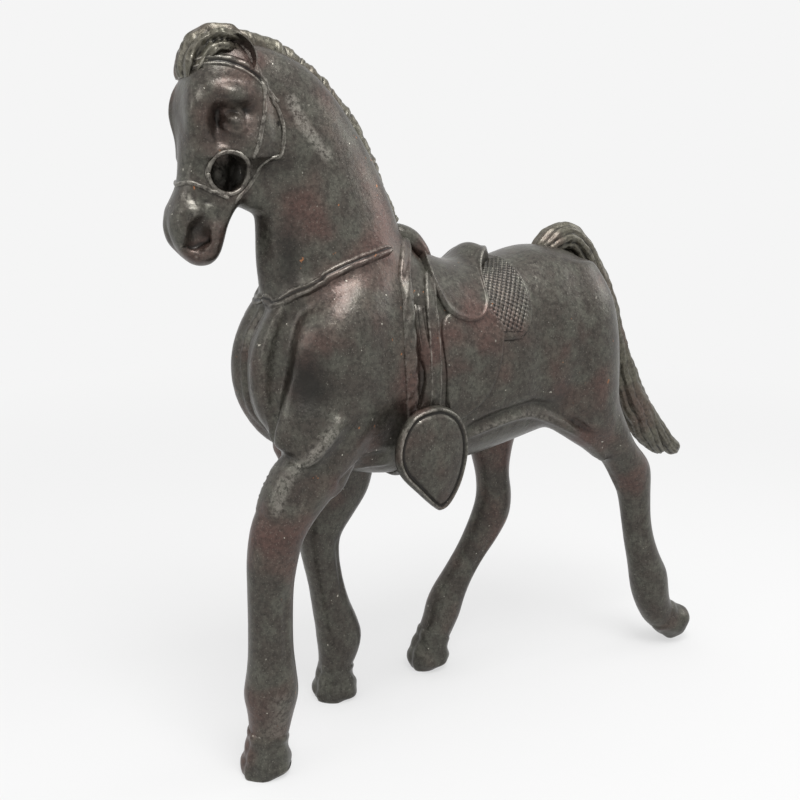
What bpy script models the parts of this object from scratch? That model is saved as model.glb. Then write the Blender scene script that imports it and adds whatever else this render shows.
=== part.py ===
"""Cast-metal statuette of a walking saddle horse, about 120 mm tall.

The hollow body is two half castings that meet on the centre plane. The legs, tail, ears,
mane and tack are separate castings seated on that body.

Sizes are in millimetres in the horse's own directions: forward (towards the nose), left
(the near side) and up. They become metres when a mesh is made: the horse faces -Y, its
near side is +X, and its hooves stand on Z = 0.
"""

import math
from collections import namedtuple

import bmesh
import bpy
from mathutils import Vector
from mathutils.bvhtree import BVHTree

MM = 0.001

# Fits between castings
GAP = 0.3
SEAM_GAP = 0.3
WALL = 1.8

# Body, neck and head
BARREL_HALF_WIDTH = 13.6
NECK_HALF_WIDTH = 10.0
HEAD_HALF_WIDTH = 6.4
BODY_SQUARENESS = 2.3
BODY_SIDES = 24
MUSCLE_SIDES = 16
CAVITY_SIDES = 14

# Legs and tail
PECTORAL_OFFSET = 4.8
FORELEG_OFFSET = 8.0
HIND_LEG_OFFSET = 8.0
LEG_SIDES = 12
TAIL_HALF_WIDTH = 3.6
TAIL_SIDES = 12
SPIGOT_RADIUS = 1.8
SPIGOT_ROOT = 3.0
SPIGOT_REACH = 4.6
SPIGOT_SIDES = 16

# Rein hole through both cheeks
REIN_HOLE_BEHIND_FACE = 6.0
REIN_HOLE_ABOVE_CHIN = 13.9
REIN_HOLE_RADIUS = 3.0
REIN_HOLE_SIDES = 32
BIT_RING_MARGIN = 0.1
BIT_RING_WIDTH = 0.8
BIT_RING_THICKNESS = 0.5
BIT_RING_STEPS = 20

# Bridle
BRIDLE_WIDTH = 1.1
BRIDLE_THICKNESS = 0.5
NOSEBAND_BELOW_HOLE = 1.6
NOSEBAND_TURN = 4.6
NOSEBAND_SPREAD = 48.0
BROWBAND_BELOW_POLL = 6.6
BROWBAND_SPREAD = 96.0
CROWN_BEHIND_EARS = 3.0
CROWN_SPREAD = 92.0
CROWN_EASE = 0.2

# Breast strap, girth and stirrup leathers
STRAP_THICKNESS = 0.6
BREAST_STRAP_WIDTH = 1.5
BREAST_STRAP_TURN = 17.0
GIRTH_WIDTH = 2.0
GIRTH_FORWARD = 7.6
GIRTH_TOP_ANGLE = 152.0
LEATHER_WIDTH = 2.2

# Saddle
BLANKET_THICKNESS = 0.6
FLAP_THICKNESS = 0.8
FENDER_THICKNESS = 0.5
FLAP_BELOW_SEAT = 2.3
SEAT_HALF_WIDTH = 6.4
SEAT_FRONT = 2.4
SEAT_BACK = -9.6
SEAT_THICKNESS = 1.1
CANTLE_RISE = 2.6
HORN_HALF_WIDTH = 3.6
HORN_HALF_DEPTH = 2.6
HORN_ROOT = 1.0
HORN_HEIGHT = 5.6

# Hooded stirrups
STIRRUP_THICKNESS = 1.2
STIRRUP_BULGE = 2.4
STIRRUP_RIM = 0.5

# Mane and ears
MANE_THICKNESS = 1.4
EAR_OFFSET = 3.5
EAR_BEHIND_BROW = 0.9
EAR_BELOW_POLL = 5.5
EAR_HEIGHT = 6.2
EAR_LEAN = 1.8
EAR_HALF_WIDTH = 1.9
EAR_HALF_DEPTH = 1.2
EAR_SPREAD = (1.0, 1.08, 1.16, 1.2)

BRONZE = (0.060, 0.052, 0.046, 1.0)
WORN_BRONZE = (0.085, 0.075, 0.066, 1.0)
DARK_BRONZE = (0.040, 0.036, 0.033, 1.0)

# A cross-section: its two edge points in the side view, half its width, and its offset to
# the near side.
Section = namedtuple("Section", "front_f front_u back_f back_u half offset")

# The body as the side view shows it: (forward, top, bottom, share of BARREL_HALF_WIDTH)
TORSO_OUTLINE = (
    (35.0, 71.0, 62.5, 0.33),
    (34.2, 75.0, 58.5, 0.56),
    (32.0, 78.5, 55.0, 0.74),
    (28.0, 81.5, 51.5, 0.85),
    (21.0, 84.0, 48.5, 0.90),
    (13.0, 86.0, 46.8, 0.91),
    (6.0, 85.2, 46.3, 0.92),
    (-1.0, 82.2, 46.5, 0.95),
    (-8.0, 82.0, 47.3, 0.98),
    (-15.0, 84.4, 48.6, 1.00),
    (-22.0, 85.8, 50.0, 1.00),
    (-29.0, 85.4, 51.5, 1.00),
    (-35.0, 83.0, 54.0, 0.97),
    (-40.0, 79.0, 58.0, 0.83),
    (-43.0, 74.5, 62.5, 0.56),
    (-44.2, 71.0, 66.0, 0.26),
)

# Throat edge, crest edge and share of NECK_HALF_WIDTH, from the chest up to the poll
NECK_OUTLINE = (
    (34.0, 69.0, 3.0, 80.0, 1.08),
    (33.6, 76.0, 6.5, 87.0, 0.98),
    (32.3, 81.5, 8.0, 92.0, 0.86),
    (31.8, 87.0, 11.5, 97.0, 0.74),
    (31.8, 92.0, 13.7, 102.0, 0.67),
    (31.8, 97.0, 16.2, 106.5, 0.63),
    (32.0, 102.0, 19.5, 110.4, 0.59),
    (32.8, 106.5, 23.0, 113.9, 0.53),
    (34.0, 110.5, 28.0, 116.9, 0.45),
    (36.0, 114.0, 33.2, 118.2, 0.34),
)

# Face edge, jaw edge and share of HEAD_HALF_WIDTH, from the poll down to the lips
HEAD_OUTLINE = (
    (38.5, 119.0, 33.6, 119.0, 0.36),
    (41.0, 116.5, 31.8, 117.0, 0.64),
    (43.2, 112.8, 30.5, 113.0, 0.85),
    (44.3, 108.8, 30.0, 108.5, 1.00),
    (44.4, 104.5, 30.3, 104.0, 0.98),
    (44.6, 100.5, 31.5, 99.8, 0.82),
    (45.0, 97.0, 34.3, 96.0, 0.68),
    (46.0, 94.5, 36.6, 93.4, 0.63),
    (46.8, 91.5, 37.8, 90.5, 0.66),
    (46.2, 88.8, 38.6, 88.0, 0.60),
    (44.6, 86.4, 40.0, 86.2, 0.45),
    (43.0, 85.2, 41.2, 85.1, 0.19),
)

# Muscles that stand proud of the barrel, as centre lines down through them: (forward, up,
# half depth, half width, share of the leg's offset)
NEAR_SHOULDER = (
    (15.5, 81.0, 4.0, 2.8, 0.80),
    (18.5, 75.0, 7.6, 4.4, 0.96),
    (22.0, 68.0, 9.2, 5.2, 1.02),
    (25.6, 60.5, 8.8, 5.2, 1.04),
    (29.0, 53.0, 6.8, 4.8, 1.02),
)
OFF_SHOULDER = (
    (15.5, 81.0, 4.0, 2.8, 0.80),
    (18.0, 75.0, 7.6, 4.4, 0.96),
    (20.0, 67.0, 9.0, 5.2, 1.02),
    (19.5, 59.0, 8.8, 5.2, 1.04),
    (18.6, 51.5, 7.8, 4.8, 1.02),
)
NEAR_THIGH = (
    (-29.5, 82.0, 5.0, 3.0, 0.76),
    (-31.0, 75.0, 9.0, 4.8, 1.00),
    (-32.4, 67.0, 10.6, 5.6, 1.06),
    (-33.6, 59.0, 9.8, 5.4, 1.06),
    (-36.4, 51.5, 6.8, 4.8, 1.04),
)
OFF_THIGH = (
    (-29.5, 82.0, 5.0, 3.0, 0.76),
    (-30.0, 75.0, 9.0, 4.8, 1.00),
    (-28.6, 67.0, 10.4, 5.6, 1.06),
    (-25.0, 59.0, 8.6, 5.4, 1.06),
    (-21.6, 51.0, 6.4, 4.8, 1.02),
)
PECTORAL = (
    (27.5, 80.5, 2.4, 2.2, 1.00),
    (31.0, 75.0, 3.6, 3.4, 1.00),
    (32.4, 67.5, 3.8, 4.0, 1.00),
    (31.4, 60.0, 3.6, 3.6, 1.00),
    (28.5, 54.0, 2.6, 2.6, 1.00),
)

# Leg centre lines from the body down: (forward, up, half depth, half width, share of the
# leg's offset). The first row of each is inside the body.
NEAR_FORELEG = (
    (22.0, 59.0, 6.6, 3.6, 0.90),
    (24.8, 54.5, 6.6, 4.5, 0.95),
    (28.6, 50.5, 5.8, 4.6, 1.00),
    (32.4, 46.0, 4.7, 4.3, 1.02),
    (34.6, 41.0, 4.0, 3.9, 1.02),
    (35.4, 36.0, 3.4, 3.4, 1.01),
    (35.8, 30.0, 3.2, 3.1, 1.00),
    (36.0, 22.0, 3.3, 3.1, 1.00),
    (36.0, 17.5, 3.7, 3.5, 1.00),
    (36.0, 13.8, 4.0, 3.8, 1.00),
    (36.3, 10.2, 3.3, 3.3, 1.00),
    (36.6, 7.4, 3.3, 3.4, 1.00),
)
OFF_FORELEG = (
    (18.2, 57.0, 6.8, 3.6, 0.88),
    (18.0, 50.0, 7.4, 4.5, 0.94),
    (17.7, 45.0, 6.4, 4.6, 1.00),
    (17.9, 40.0, 5.3, 4.3, 1.00),
    (18.4, 35.5, 4.0, 3.8, 1.00),
    (18.3, 31.0, 3.3, 3.2, 1.00),
    (17.6, 26.5, 2.9, 2.9, 1.00),
    (16.8, 21.5, 2.9, 2.9, 1.00),
    (15.8, 16.0, 3.3, 3.2, 1.00),
    (15.0, 12.0, 3.8, 3.6, 1.00),
    (15.2, 9.0, 3.3, 3.3, 1.00),
    (15.6, 6.8, 3.3, 3.3, 1.00),
)
NEAR_HIND_LEG = (
    (-33.0, 62.0, 7.4, 3.8, 0.88),
    (-34.2, 56.5, 7.2, 4.7, 0.96),
    (-37.0, 51.0, 5.4, 4.6, 1.02),
    (-40.2, 46.5, 4.3, 4.0, 1.02),
    (-43.2, 42.3, 4.2, 3.6, 1.02),
    (-44.7, 38.0, 3.7, 3.4, 1.01),
    (-45.8, 32.0, 3.0, 3.0, 1.00),
    (-46.9, 26.0, 2.8, 2.8, 1.00),
    (-48.8, 20.0, 3.2, 3.0, 1.00),
    (-50.9, 14.8, 4.0, 3.6, 1.00),
    (-52.6, 10.6, 3.5, 3.4, 1.00),
    (-54.6, 7.4, 3.4, 3.4, 1.00),
)
OFF_HIND_LEG = (
    (-19.5, 58.5, 7.0, 3.8, 0.90),
    (-20.0, 51.0, 6.0, 4.5, 0.97),
    (-20.7, 45.5, 4.4, 4.0, 1.00),
    (-21.2, 40.5, 3.6, 3.5, 1.00),
    (-21.4, 35.5, 3.6, 3.3, 1.00),
    (-20.6, 31.0, 3.9, 3.3, 1.00),
    (-18.3, 26.5, 3.4, 3.1, 1.00),
    (-15.3, 22.0, 2.9, 2.9, 1.00),
    (-12.3, 17.7, 3.1, 3.0, 1.00),
    (-9.8, 13.5, 3.7, 3.5, 1.00),
    (-8.4, 9.8, 3.4, 3.4, 1.00),
    (-7.4, 7.2, 3.4, 3.4, 1.00),
)

# Hooves from the coronet down to the sole: (forward, up, half depth, half width). The last
# ring lies below the ground, which cuts the sole flat.
NEAR_FORE_HOOF = (
    (36.7, 7.1, 3.7, 3.7),
    (36.9, 3.4, 4.3, 4.3),
    (37.1, 0.8, 4.7, 4.6),
    (37.1, -0.6, 4.6, 4.5),
)
OFF_FORE_HOOF = (
    (15.7, 6.5, 3.6, 3.6),
    (15.9, 3.2, 4.3, 4.2),
    (16.1, 0.8, 4.6, 4.5),
    (16.1, -0.6, 4.5, 4.4),
)
NEAR_HIND_HOOF = (
    (-55.0, 6.9, 3.7, 3.7),
    (-57.6, 5.2, 4.2, 4.2),
    (-60.2, 3.7, 4.3, 4.3),
    (-61.4, 3.1, 4.0, 4.0),
)
OFF_HIND_HOOF = (
    (-7.2, 6.9, 3.7, 3.7),
    (-6.5, 3.6, 4.4, 4.3),
    (-5.9, 0.8, 4.8, 4.6),
    (-5.8, -0.6, 4.7, 4.5),
)

# Tail centre line from the croup to the tip: (forward, up, half depth, share of
# TAIL_HALF_WIDTH)
TAIL_LINE = (
    (-22.5, 81.5, 2.2, 0.70),
    (-26.4, 84.4, 2.5, 0.76),
    (-30.4, 86.5, 3.0, 0.82),
    (-34.4, 85.8, 3.2, 0.86),
    (-38.0, 82.3, 3.2, 0.88),
    (-41.2, 77.2, 3.1, 0.90),
    (-44.2, 71.0, 3.0, 0.94),
    (-45.8, 66.0, 3.2, 0.98),
    (-47.6, 60.5, 3.7, 1.00),
    (-50.0, 54.8, 4.1, 1.00),
    (-53.5, 49.3, 4.1, 0.95),
    (-58.4, 44.9, 3.2, 0.80),
    (-62.8, 41.9, 2.2, 0.55),
    (-65.2, 40.2, 1.2, 0.30),
)

# Side-view outlines of the tack from the top row down: (drop below the flap's top, front
# edge, back edge)
FLAP_ROWS = (
    (0.0, 5.9, -6.4),
    (1.0, 5.4, -6.3),
    (2.2, 4.4, -5.9),
    (3.6, 2.9, -5.0),
    (4.7, 1.2, -3.6),
    (5.2, 0.2, -2.4),
)
FENDER_ROWS = (
    (5.8, 4.5, -5.0),
    (9.1, 4.6, -4.9),
    (12.6, 4.7, -4.4),
    (15.0, 4.9, -3.0),
    (17.0, 5.0, -0.6),
    (17.7, 5.0, 1.2),
)
LEATHER_ROUTE = (
    (8.2, 82.4),
    (7.4, 79.4),
    (6.9, 75.6),
    (6.8, 71.0),
    (7.0, 66.0),
    (7.0, 61.6),
    (6.7, 58.8),
)
# The blanket's back edge from its hem, at HEM_ANGLE from straight down, up to the spine
BLANKET_HEM_ANGLE = 110.0
BLANKET_FRONT = 2.3
BLANKET_BACK_ROWS = ((-10.2,), (-12.4,), (-13.4,), (-13.6,), (-13.8,), (-14.6,), (-15.2,))

# Forelock from the poll down: (ahead of and below the poll, half depth, share of width)
FORELOCK_SHAPE = (
    (-1.9, 0.6, 1.0, 0.7),
    (0.5, 0.4, 1.3, 1.0),
    (2.7, 2.1, 1.2, 1.0),
    (4.2, 4.4, 0.8, 0.6),
)

# Breast strap from the chest's centre round to the withers: (turn in degrees, up)
BREAST_STRAP_ROUTE = (
    (0.0, 79.2),
    (22.0, 79.7),
    (43.0, 81.2),
    (62.0, 83.4),
    (92.0, 85.6),
    (118.0, 86.6),
    (134.0, 86.8),
)

# Cheekpieces from the bit ring up to the crownpiece: (share of the way, bow to the back)
CHEEKPIECE_SHAPE = (
    (0.0, 0.0),
    (0.22, 1.2),
    (0.52, 1.5),
    (0.8, 0.8),
    (1.0, 0.0),
)
CHEEKPIECE_START = 0.4
CHEEKPIECE_END = -0.2

# Stirrup hood outline about its middle, in turn from the top: (forward, up)
STIRRUP_MIDDLE = (8.6, 53.0)
STIRRUP_OUTLINE = (
    (8.8, 61.4),
    (5.6, 60.6),
    (3.2, 58.0),
    (2.3, 54.2),
    (2.6, 50.0),
    (3.9, 45.8),
    (5.6, 43.0),
    (7.2, 42.3),
    (9.6, 43.6),
    (12.4, 46.6),
    (14.8, 50.0),
    (15.6, 53.6),
    (14.8, 57.4),
    (12.4, 60.4),
)
STIRRUP_RINGS = (0.45, 0.8, 1.0)

# The origin is midway between the nose and the tip of the tail
NOSE_FORWARD = max(row[0] for row in HEAD_OUTLINE)
TAIL_TIP_FORWARD = TAIL_LINE[-1][0] - TAIL_LINE[-1][2] / 2
ORIGIN_FORWARD = (NOSE_FORWARD + TAIL_TIP_FORWARD) / 2

# Places on the head, all from its outline
POLL_FORWARD, POLL_UP = HEAD_OUTLINE[0][0], HEAD_OUTLINE[0][1]
CHIN_UP = HEAD_OUTLINE[-1][1]
FACE_FORWARD = HEAD_OUTLINE[5][0]
REIN_HOLE_FORWARD = FACE_FORWARD - REIN_HOLE_BEHIND_FACE
REIN_HOLE_UP = CHIN_UP + REIN_HOLE_ABOVE_CHIN
BIT_RING_INNER = REIN_HOLE_RADIUS + BIT_RING_MARGIN
BIT_RING_OUTER = BIT_RING_INNER + BIT_RING_WIDTH
NOSEBAND_UP = REIN_HOLE_UP - NOSEBAND_BELOW_HOLE
BROWBAND_UP = POLL_UP - BROWBAND_BELOW_POLL
EAR_FORWARD = POLL_FORWARD - EAR_BEHIND_BROW
EAR_UP = POLL_UP - EAR_BELOW_POLL
CROWN_FORWARD = EAR_FORWARD - CROWN_BEHIND_EARS
FORELOCK_HALF_WIDTH = EAR_OFFSET * EAR_SPREAD[1] - EAR_HALF_WIDTH - GAP

# Middles that rays run towards, and a length well beyond the whole object
CHEST_FORWARD = TORSO_OUTLINE[0][0]
BARREL_MIDDLE_UP = (TORSO_OUTLINE[7][1] + TORSO_OUTLINE[7][2]) / 2
FAR = 2 * POLL_UP
RAY_START = POLL_UP / 2
LAYER_TWO = GAP + max(BLANKET_THICKNESS, STRAP_THICKNESS) + GAP


def row_point(forward, left, up):
    """A point of the horse as a Vector in metres."""
    return Vector((left, ORIGIN_FORWARD - forward, up)) * MM


def clear_scene():
    for obj in list(bpy.data.objects):
        bpy.data.objects.remove(obj, do_unlink=True)


def material(name, colour, roughness):
    made = bpy.data.materials.new(name)
    made.use_nodes = True
    shader = made.node_tree.nodes["Principled BSDF"]
    shader.inputs["Base Color"].default_value = colour
    shader.inputs["Metallic"].default_value = 1.0
    shader.inputs["Roughness"].default_value = roughness
    return made


def make_object(name, mesh_data, finish):
    """A closed mesh with its faces turned outwards, linked to the scene."""
    mesh = bpy.data.meshes.new(name)
    mesh_data.to_mesh(mesh)
    mesh_data.free()
    mesh.shade_smooth()
    mesh.set_sharp_from_angle(angle=math.radians(40))
    obj = bpy.data.objects.new(name, mesh)
    if finish:
        mesh.materials.append(finish)
    bpy.context.scene.collection.objects.link(obj)
    return obj


def catmull(before, start, end, after, t):
    """One value on the smooth curve from start to end."""
    return 0.5 * (
        2 * start
        + (end - before) * t
        + (2 * before - 5 * start + 4 * end - after) * t * t
        + (3 * start - before - 3 * end + after) * t * t * t
    )


def smoothed(rows, steps):
    """The rows with steps - 1 more between each two, on a smooth curve through them."""
    made = []
    last = len(rows) - 1
    for i in range(last):
        near = [rows[max(0, min(last, i + k))] for k in (-1, 0, 1, 2)]
        for step in range(steps):
            made.append(tuple(catmull(*values, step / steps) for values in zip(*near)))
    made.append(tuple(rows[last]))
    return made


def edge_sections(outline, half_width):
    """Sections from rows of front edge, back edge and share of the half width."""
    return [Section(*row[:4], row[4] * half_width, 0.0) for row in outline]


def line_sections(rows, offset):
    """Sections square to a centre line given as forward, up, half depth, half width and
    share of the offset."""
    made = []
    for i, (forward, up, depth, width, share) in enumerate(rows):
        below, above = rows[min(i + 1, len(rows) - 1)], rows[max(i - 1, 0)]
        run = Vector((above[0] - below[0], above[1] - below[1])).normalized()
        out = Vector((run.y, -run.x)) * depth
        front = (forward + out.x, up + out.y)
        back = (forward - out.x, up - out.y)
        made.append(Section(*front, *back, width, share * offset))
    return made


def ring(section, sides, grow, power):
    """The points of one cross-section, grown outwards by grow."""
    middle = Vector((section.front_f + section.back_f, section.front_u + section.back_u)) / 2
    reach = Vector((section.front_f, section.front_u)) - middle
    reach = reach.normalized() * max(reach.length + grow, 0.2)
    half = max(section.half + grow, 0.2)
    points = []
    for k in range(sides):
        turn = 2 * math.pi * (k + 0.5) / sides
        along = math.copysign(abs(math.cos(turn)) ** (2 / power), math.cos(turn))
        aside = math.copysign(abs(math.sin(turn)) ** (2 / power), math.sin(turn))
        at = middle + reach * along
        points.append(row_point(at.x, section.offset + half * aside, at.y))
    return points


def pushed(rings, grow):
    """The rings with both end rings moved outwards along the loft by grow."""
    for end, inner in ((0, 1), (-1, -2)):
        middle = sum(rings[end], Vector()) / len(rings[end])
        beside = sum(rings[inner], Vector()) / len(rings[inner])
        shift = (middle - beside).normalized() * grow * MM
        rings[end] = [point + shift for point in rings[end]]
    return rings


def loft_mesh(rings):
    """A closed skin through the rings, with flat ends."""
    made = bmesh.new()
    loops = [[made.verts.new(point) for point in points] for points in rings]
    sides = len(loops[0])
    for one, two in zip(loops, loops[1:]):
        for k in range(sides):
            nxt = (k + 1) % sides
            made.faces.new((one[k], one[nxt], two[nxt], two[k]))
    made.faces.new(loops[0])
    made.faces.new(loops[-1])
    bmesh.ops.recalc_face_normals(made, faces=made.faces)
    return made


def loft(name, sections, sides, finish=None, grow=0.0, power=2.0):
    rings = pushed([ring(section, sides, grow, power) for section in sections], grow)
    return make_object(name, loft_mesh(rings), finish)


def boolean(obj, other, operation):
    """Applies one Boolean and removes the other object."""
    modifier = obj.modifiers.new(operation, "BOOLEAN")
    modifier.operation = operation
    modifier.solver = "EXACT"
    modifier.object = other
    bpy.context.view_layer.update()
    graph = bpy.context.evaluated_depsgraph_get()
    mesh = bpy.data.meshes.new_from_object(obj.evaluated_get(graph))
    obj.modifiers.clear()
    obj.data = mesh
    bpy.data.objects.remove(other, do_unlink=True)


def duplicate(obj, name):
    copy = obj.copy()
    copy.data = obj.data.copy()
    copy.name = name
    bpy.context.scene.collection.objects.link(copy)
    return copy


def box(low, high):
    """A box between two corners given as forward, left, up."""
    made = bmesh.new()
    bmesh.ops.create_cube(made, size=1.0)
    one, two = row_point(*low), row_point(*high)
    size = two - one
    for vert in made.verts:
        vert.co = (one + two) / 2 + Vector([vert.co[i] * abs(size[i]) for i in range(3)])
    return make_object("box", made, None)


def rod(name, start, end, radius, sides):
    """A round bar between two points given as forward, left, up."""
    one, two = row_point(*start), row_point(*end)
    run = (two - one).normalized()
    across = run.orthogonal().normalized()
    other = run.cross(across)
    turns = [2 * math.pi * k / sides for k in range(sides)]
    spokes = [(across * math.cos(t) + other * math.sin(t)) * radius * MM for t in turns]
    rings = [[end_point + spoke for spoke in spokes] for end_point in (one, two)]
    return make_object(name, loft_mesh(rings), None)


def bare_body(name, grow, steps, sides):
    """The barrel, neck and head as one closed form, grown outwards by grow."""
    outline = [(f, top, f, bottom, share) for f, top, bottom, share in TORSO_OUTLINE]
    barrel = edge_sections(smoothed(outline, steps), BARREL_HALF_WIDTH)
    neck = edge_sections(smoothed(NECK_OUTLINE, steps), NECK_HALF_WIDTH)
    head = edge_sections(smoothed(HEAD_OUTLINE, steps), HEAD_HALF_WIDTH)
    body = loft(name, barrel, sides, None, grow, BODY_SQUARENESS)
    boolean(body, loft("neck", neck, sides, None, grow), "UNION")
    boolean(body, loft("head", head, sides, None, grow), "UNION")
    return body


def solid_body(name, grow):
    """The whole body with the muscles of the chest, shoulders and thighs."""
    body = bare_body(name, grow, 2, BODY_SIDES)
    muscles = (
        (NEAR_SHOULDER, FORELEG_OFFSET),
        (OFF_SHOULDER, -FORELEG_OFFSET),
        (NEAR_THIGH, HIND_LEG_OFFSET),
        (OFF_THIGH, -HIND_LEG_OFFSET),
        (PECTORAL, PECTORAL_OFFSET),
        (PECTORAL, -PECTORAL_OFFSET),
    )
    for rows, offset in muscles:
        sections = line_sections(smoothed(rows, 2), offset)
        boolean(body, loft("muscle", sections, MUSCLE_SIDES, None, grow), "UNION")
    return body


class Skin:
    """The body's outer surface, on which the tack is laid."""

    def __init__(self, body):
        graph = bpy.context.evaluated_depsgraph_get()
        self.tree = BVHTree.FromObject(body, graph)

    def hit(self, start, target):
        """Where a ray from start to target meets the skin, and the skin's smooth normal."""
        found = self.tree.ray_cast(start, (target - start).normalized())
        if found[0] is None:
            found = self.tree.find_nearest(target)
        return found[0], self.smooth_normal(found[0], found[1])

    def smooth_normal(self, point, normal):
        """The mean normal of the faces near a point."""
        side = normal.orthogonal().normalized()
        other = normal.cross(side)
        total = normal.copy()
        for step in (side, -side, other, -other):
            total += self.tree.find_nearest(point + step * MM)[1]
        return total.normalized()

    def lifted(self, place, lift):
        """A point at least lift above the skin, near the given place."""
        at = place[0] + place[1] * lift * MM
        for _ in range(3):
            near, normal, _, _ = self.tree.find_nearest(at)
            outside = (at - near).dot(normal) > 0
            short = lift * MM - (at - near).length * (1 if outside else -1)
            if short <= 0:
                break
            at = at + normal * short
        return at


def plate(name, skin, grid, lift, thickness, finish, closed=False):
    """A sheet of metal laid on the skin. The grid holds places on the skin, row by row, and
    thickness(i, j) is the sheet's thickness there."""
    made = bmesh.new()
    lower = [[made.verts.new(skin.lifted(p, lift)) for p in row] for row in grid]
    upper = [
        [made.verts.new(skin.lifted(p, lift + thickness(i, j))) for j, p in enumerate(row)]
        for i, row in enumerate(grid)
    ]
    rows, columns = len(grid), len(grid[0])
    for i in range(rows if closed else rows - 1):
        nxt = (i + 1) % rows
        for j in range(columns - 1):
            made.faces.new((upper[i][j], upper[nxt][j], upper[nxt][j + 1], upper[i][j + 1]))
            made.faces.new((lower[i][j], lower[i][j + 1], lower[nxt][j + 1], lower[nxt][j]))
        for j in (0, columns - 1):
            made.faces.new((upper[i][j], lower[i][j], lower[nxt][j], upper[nxt][j]))
    if not closed:
        for i in (0, rows - 1):
            for j in range(columns - 1):
                made.faces.new((upper[i][j], upper[i][j + 1], lower[i][j + 1], lower[i][j]))
    bmesh.ops.recalc_face_normals(made, faces=made.faces)
    return make_object(name, made, finish)


def even(amount):
    """A thickness that is the same all over."""
    return lambda i, j: amount


def side_place(skin, side, forward, up):
    """The place on the near (side 1) or off (side -1) flank at that side-view point."""
    return skin.hit(row_point(forward, side * RAY_START, up), row_point(forward, 0, up))


def side_panel(name, skin, side, rows, columns, lift, thickness, finish):
    """A panel on one flank, from rows of up, front edge and back edge."""
    grid = []
    for up, front, back in rows:
        steps = [front + (back - front) * j / (columns - 1) for j in range(columns)]
        grid.append([side_place(skin, side, forward, up) for forward in steps])
    return plate(name, skin, grid, lift, even(thickness), finish)


def side_strap(name, skin, side, route, width, lift, thickness, finish):
    """A strap on one side along a side-view route of forward, up."""
    rows = smoothed(route, 3)
    grid = []
    for i, (forward, up) in enumerate(rows):
        after, before = rows[min(i + 1, len(rows) - 1)], rows[max(i - 1, 0)]
        run = Vector((after[0] - before[0], after[1] - before[1])).normalized()
        across = Vector((run.y, -run.x)) * width / 2
        places = [Vector((forward, up)) + across * step for step in (-1, 0, 1)]
        grid.append([side_place(skin, side, at.x, at.y) for at in places])
    return plate(name, skin, grid, lift, even(thickness), finish)


def top_place(skin, forward, left):
    """The place met from straight above."""
    return skin.hit(row_point(forward, left, FAR), row_point(forward, left, BARREL_MIDDLE_UP))


def level_place(skin, middle, turn, up):
    """The place met by a level ray towards a point of the centre plane, at that turn in
    degrees from straight ahead."""
    ahead, aside = math.cos(math.radians(turn)), math.sin(math.radians(turn))
    start = row_point(middle + RAY_START * ahead, RAY_START * aside, up)
    return skin.hit(start, row_point(middle, 0, up))


def upright_place(skin, forward, middle_up, turn):
    """The place met by a ray in a cross-plane of the body, at that turn from straight down."""
    down, aside = math.cos(math.radians(turn)), math.sin(math.radians(turn))
    start = row_point(forward, RAY_START * aside, middle_up - RAY_START * down)
    return skin.hit(start, row_point(forward, 0, middle_up))


def make_legs(skin, keep_clear, shells, bronze, dark):
    """The four legs and their hooves. Each leg's spigot goes through its shell's wall."""
    legs = (
        ("near_foreleg", NEAR_FORELEG, NEAR_FORE_HOOF, 1, FORELEG_OFFSET),
        ("off_foreleg", OFF_FORELEG, OFF_FORE_HOOF, -1, FORELEG_OFFSET),
        ("near_hind_leg", NEAR_HIND_LEG, NEAR_HIND_HOOF, 1, HIND_LEG_OFFSET),
        ("off_hind_leg", OFF_HIND_LEG, OFF_HIND_HOOF, -1, HIND_LEG_OFFSET),
    )
    for name, rows, hoof_rows, side, offset in legs:
        leg = loft(name, line_sections(smoothed(rows, 2), side * offset), LEG_SIDES, bronze)
        boolean(leg, duplicate(keep_clear, "clearance"), "DIFFERENCE")
        forward, left = rows[1][0], side * offset * rows[1][4]
        below = row_point(forward, left, -RAY_START)
        under = skin.hit(below, row_point(forward, left, rows[0][1]))[0].z / MM
        start = (forward, left, under - SPIGOT_ROOT)
        end = (forward, left, under + SPIGOT_REACH)
        boolean(leg, rod("spigot", start, end, SPIGOT_RADIUS, SPIGOT_SIDES), "UNION")
        socket_end = (forward, left, under + SPIGOT_REACH + GAP)
        socket = rod("socket", start, socket_end, SPIGOT_RADIUS + GAP, SPIGOT_SIDES)
        boolean(shells[side], socket, "DIFFERENCE")
        make_hoof(name, leg, hoof_rows, side * offset, dark)


def make_hoof(leg_name, leg, rows, offset, finish):
    """A hoof with a flat sole on the ground, whose leg ends just above it."""
    name = leg_name.replace("foreleg", "fore_hoof").replace("hind_leg", "hind_hoof")
    sections = line_sections([(*row, 1.0) for row in rows], offset)
    hoof = loft(name, sections, LEG_SIDES, finish)
    below = box((-FAR, -FAR, -FAR), (FAR, FAR, 0))
    boolean(hoof, below, "DIFFERENCE")
    bigger = loft("clearance", sections, LEG_SIDES, None, GAP)
    boolean(leg, bigger, "DIFFERENCE")


def make_tail(keep_clear, skin, shells, finish):
    rows = [(f, u, depth, share * TAIL_HALF_WIDTH, 0) for f, u, depth, share in TAIL_LINE]
    tail = loft("tail", line_sections(smoothed(rows, 2), 0.0), TAIL_SIDES, finish)
    boolean(tail, duplicate(keep_clear, "clearance"), "DIFFERENCE")
    forward = TAIL_LINE[2][0]
    top = top_place(skin, forward, 0)[0].z / MM
    start, end = (forward, 0, top + SPIGOT_ROOT / 2), (forward, 0, top - SPIGOT_REACH)
    boolean(tail, rod("spigot", start, end, SPIGOT_RADIUS, SPIGOT_SIDES), "UNION")
    socket_end = (forward, 0, top - SPIGOT_REACH - GAP)
    for side in (1, -1):
        socket = rod("socket", start, socket_end, SPIGOT_RADIUS + GAP, SPIGOT_SIDES)
        boolean(shells[side], socket, "DIFFERENCE")


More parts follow.
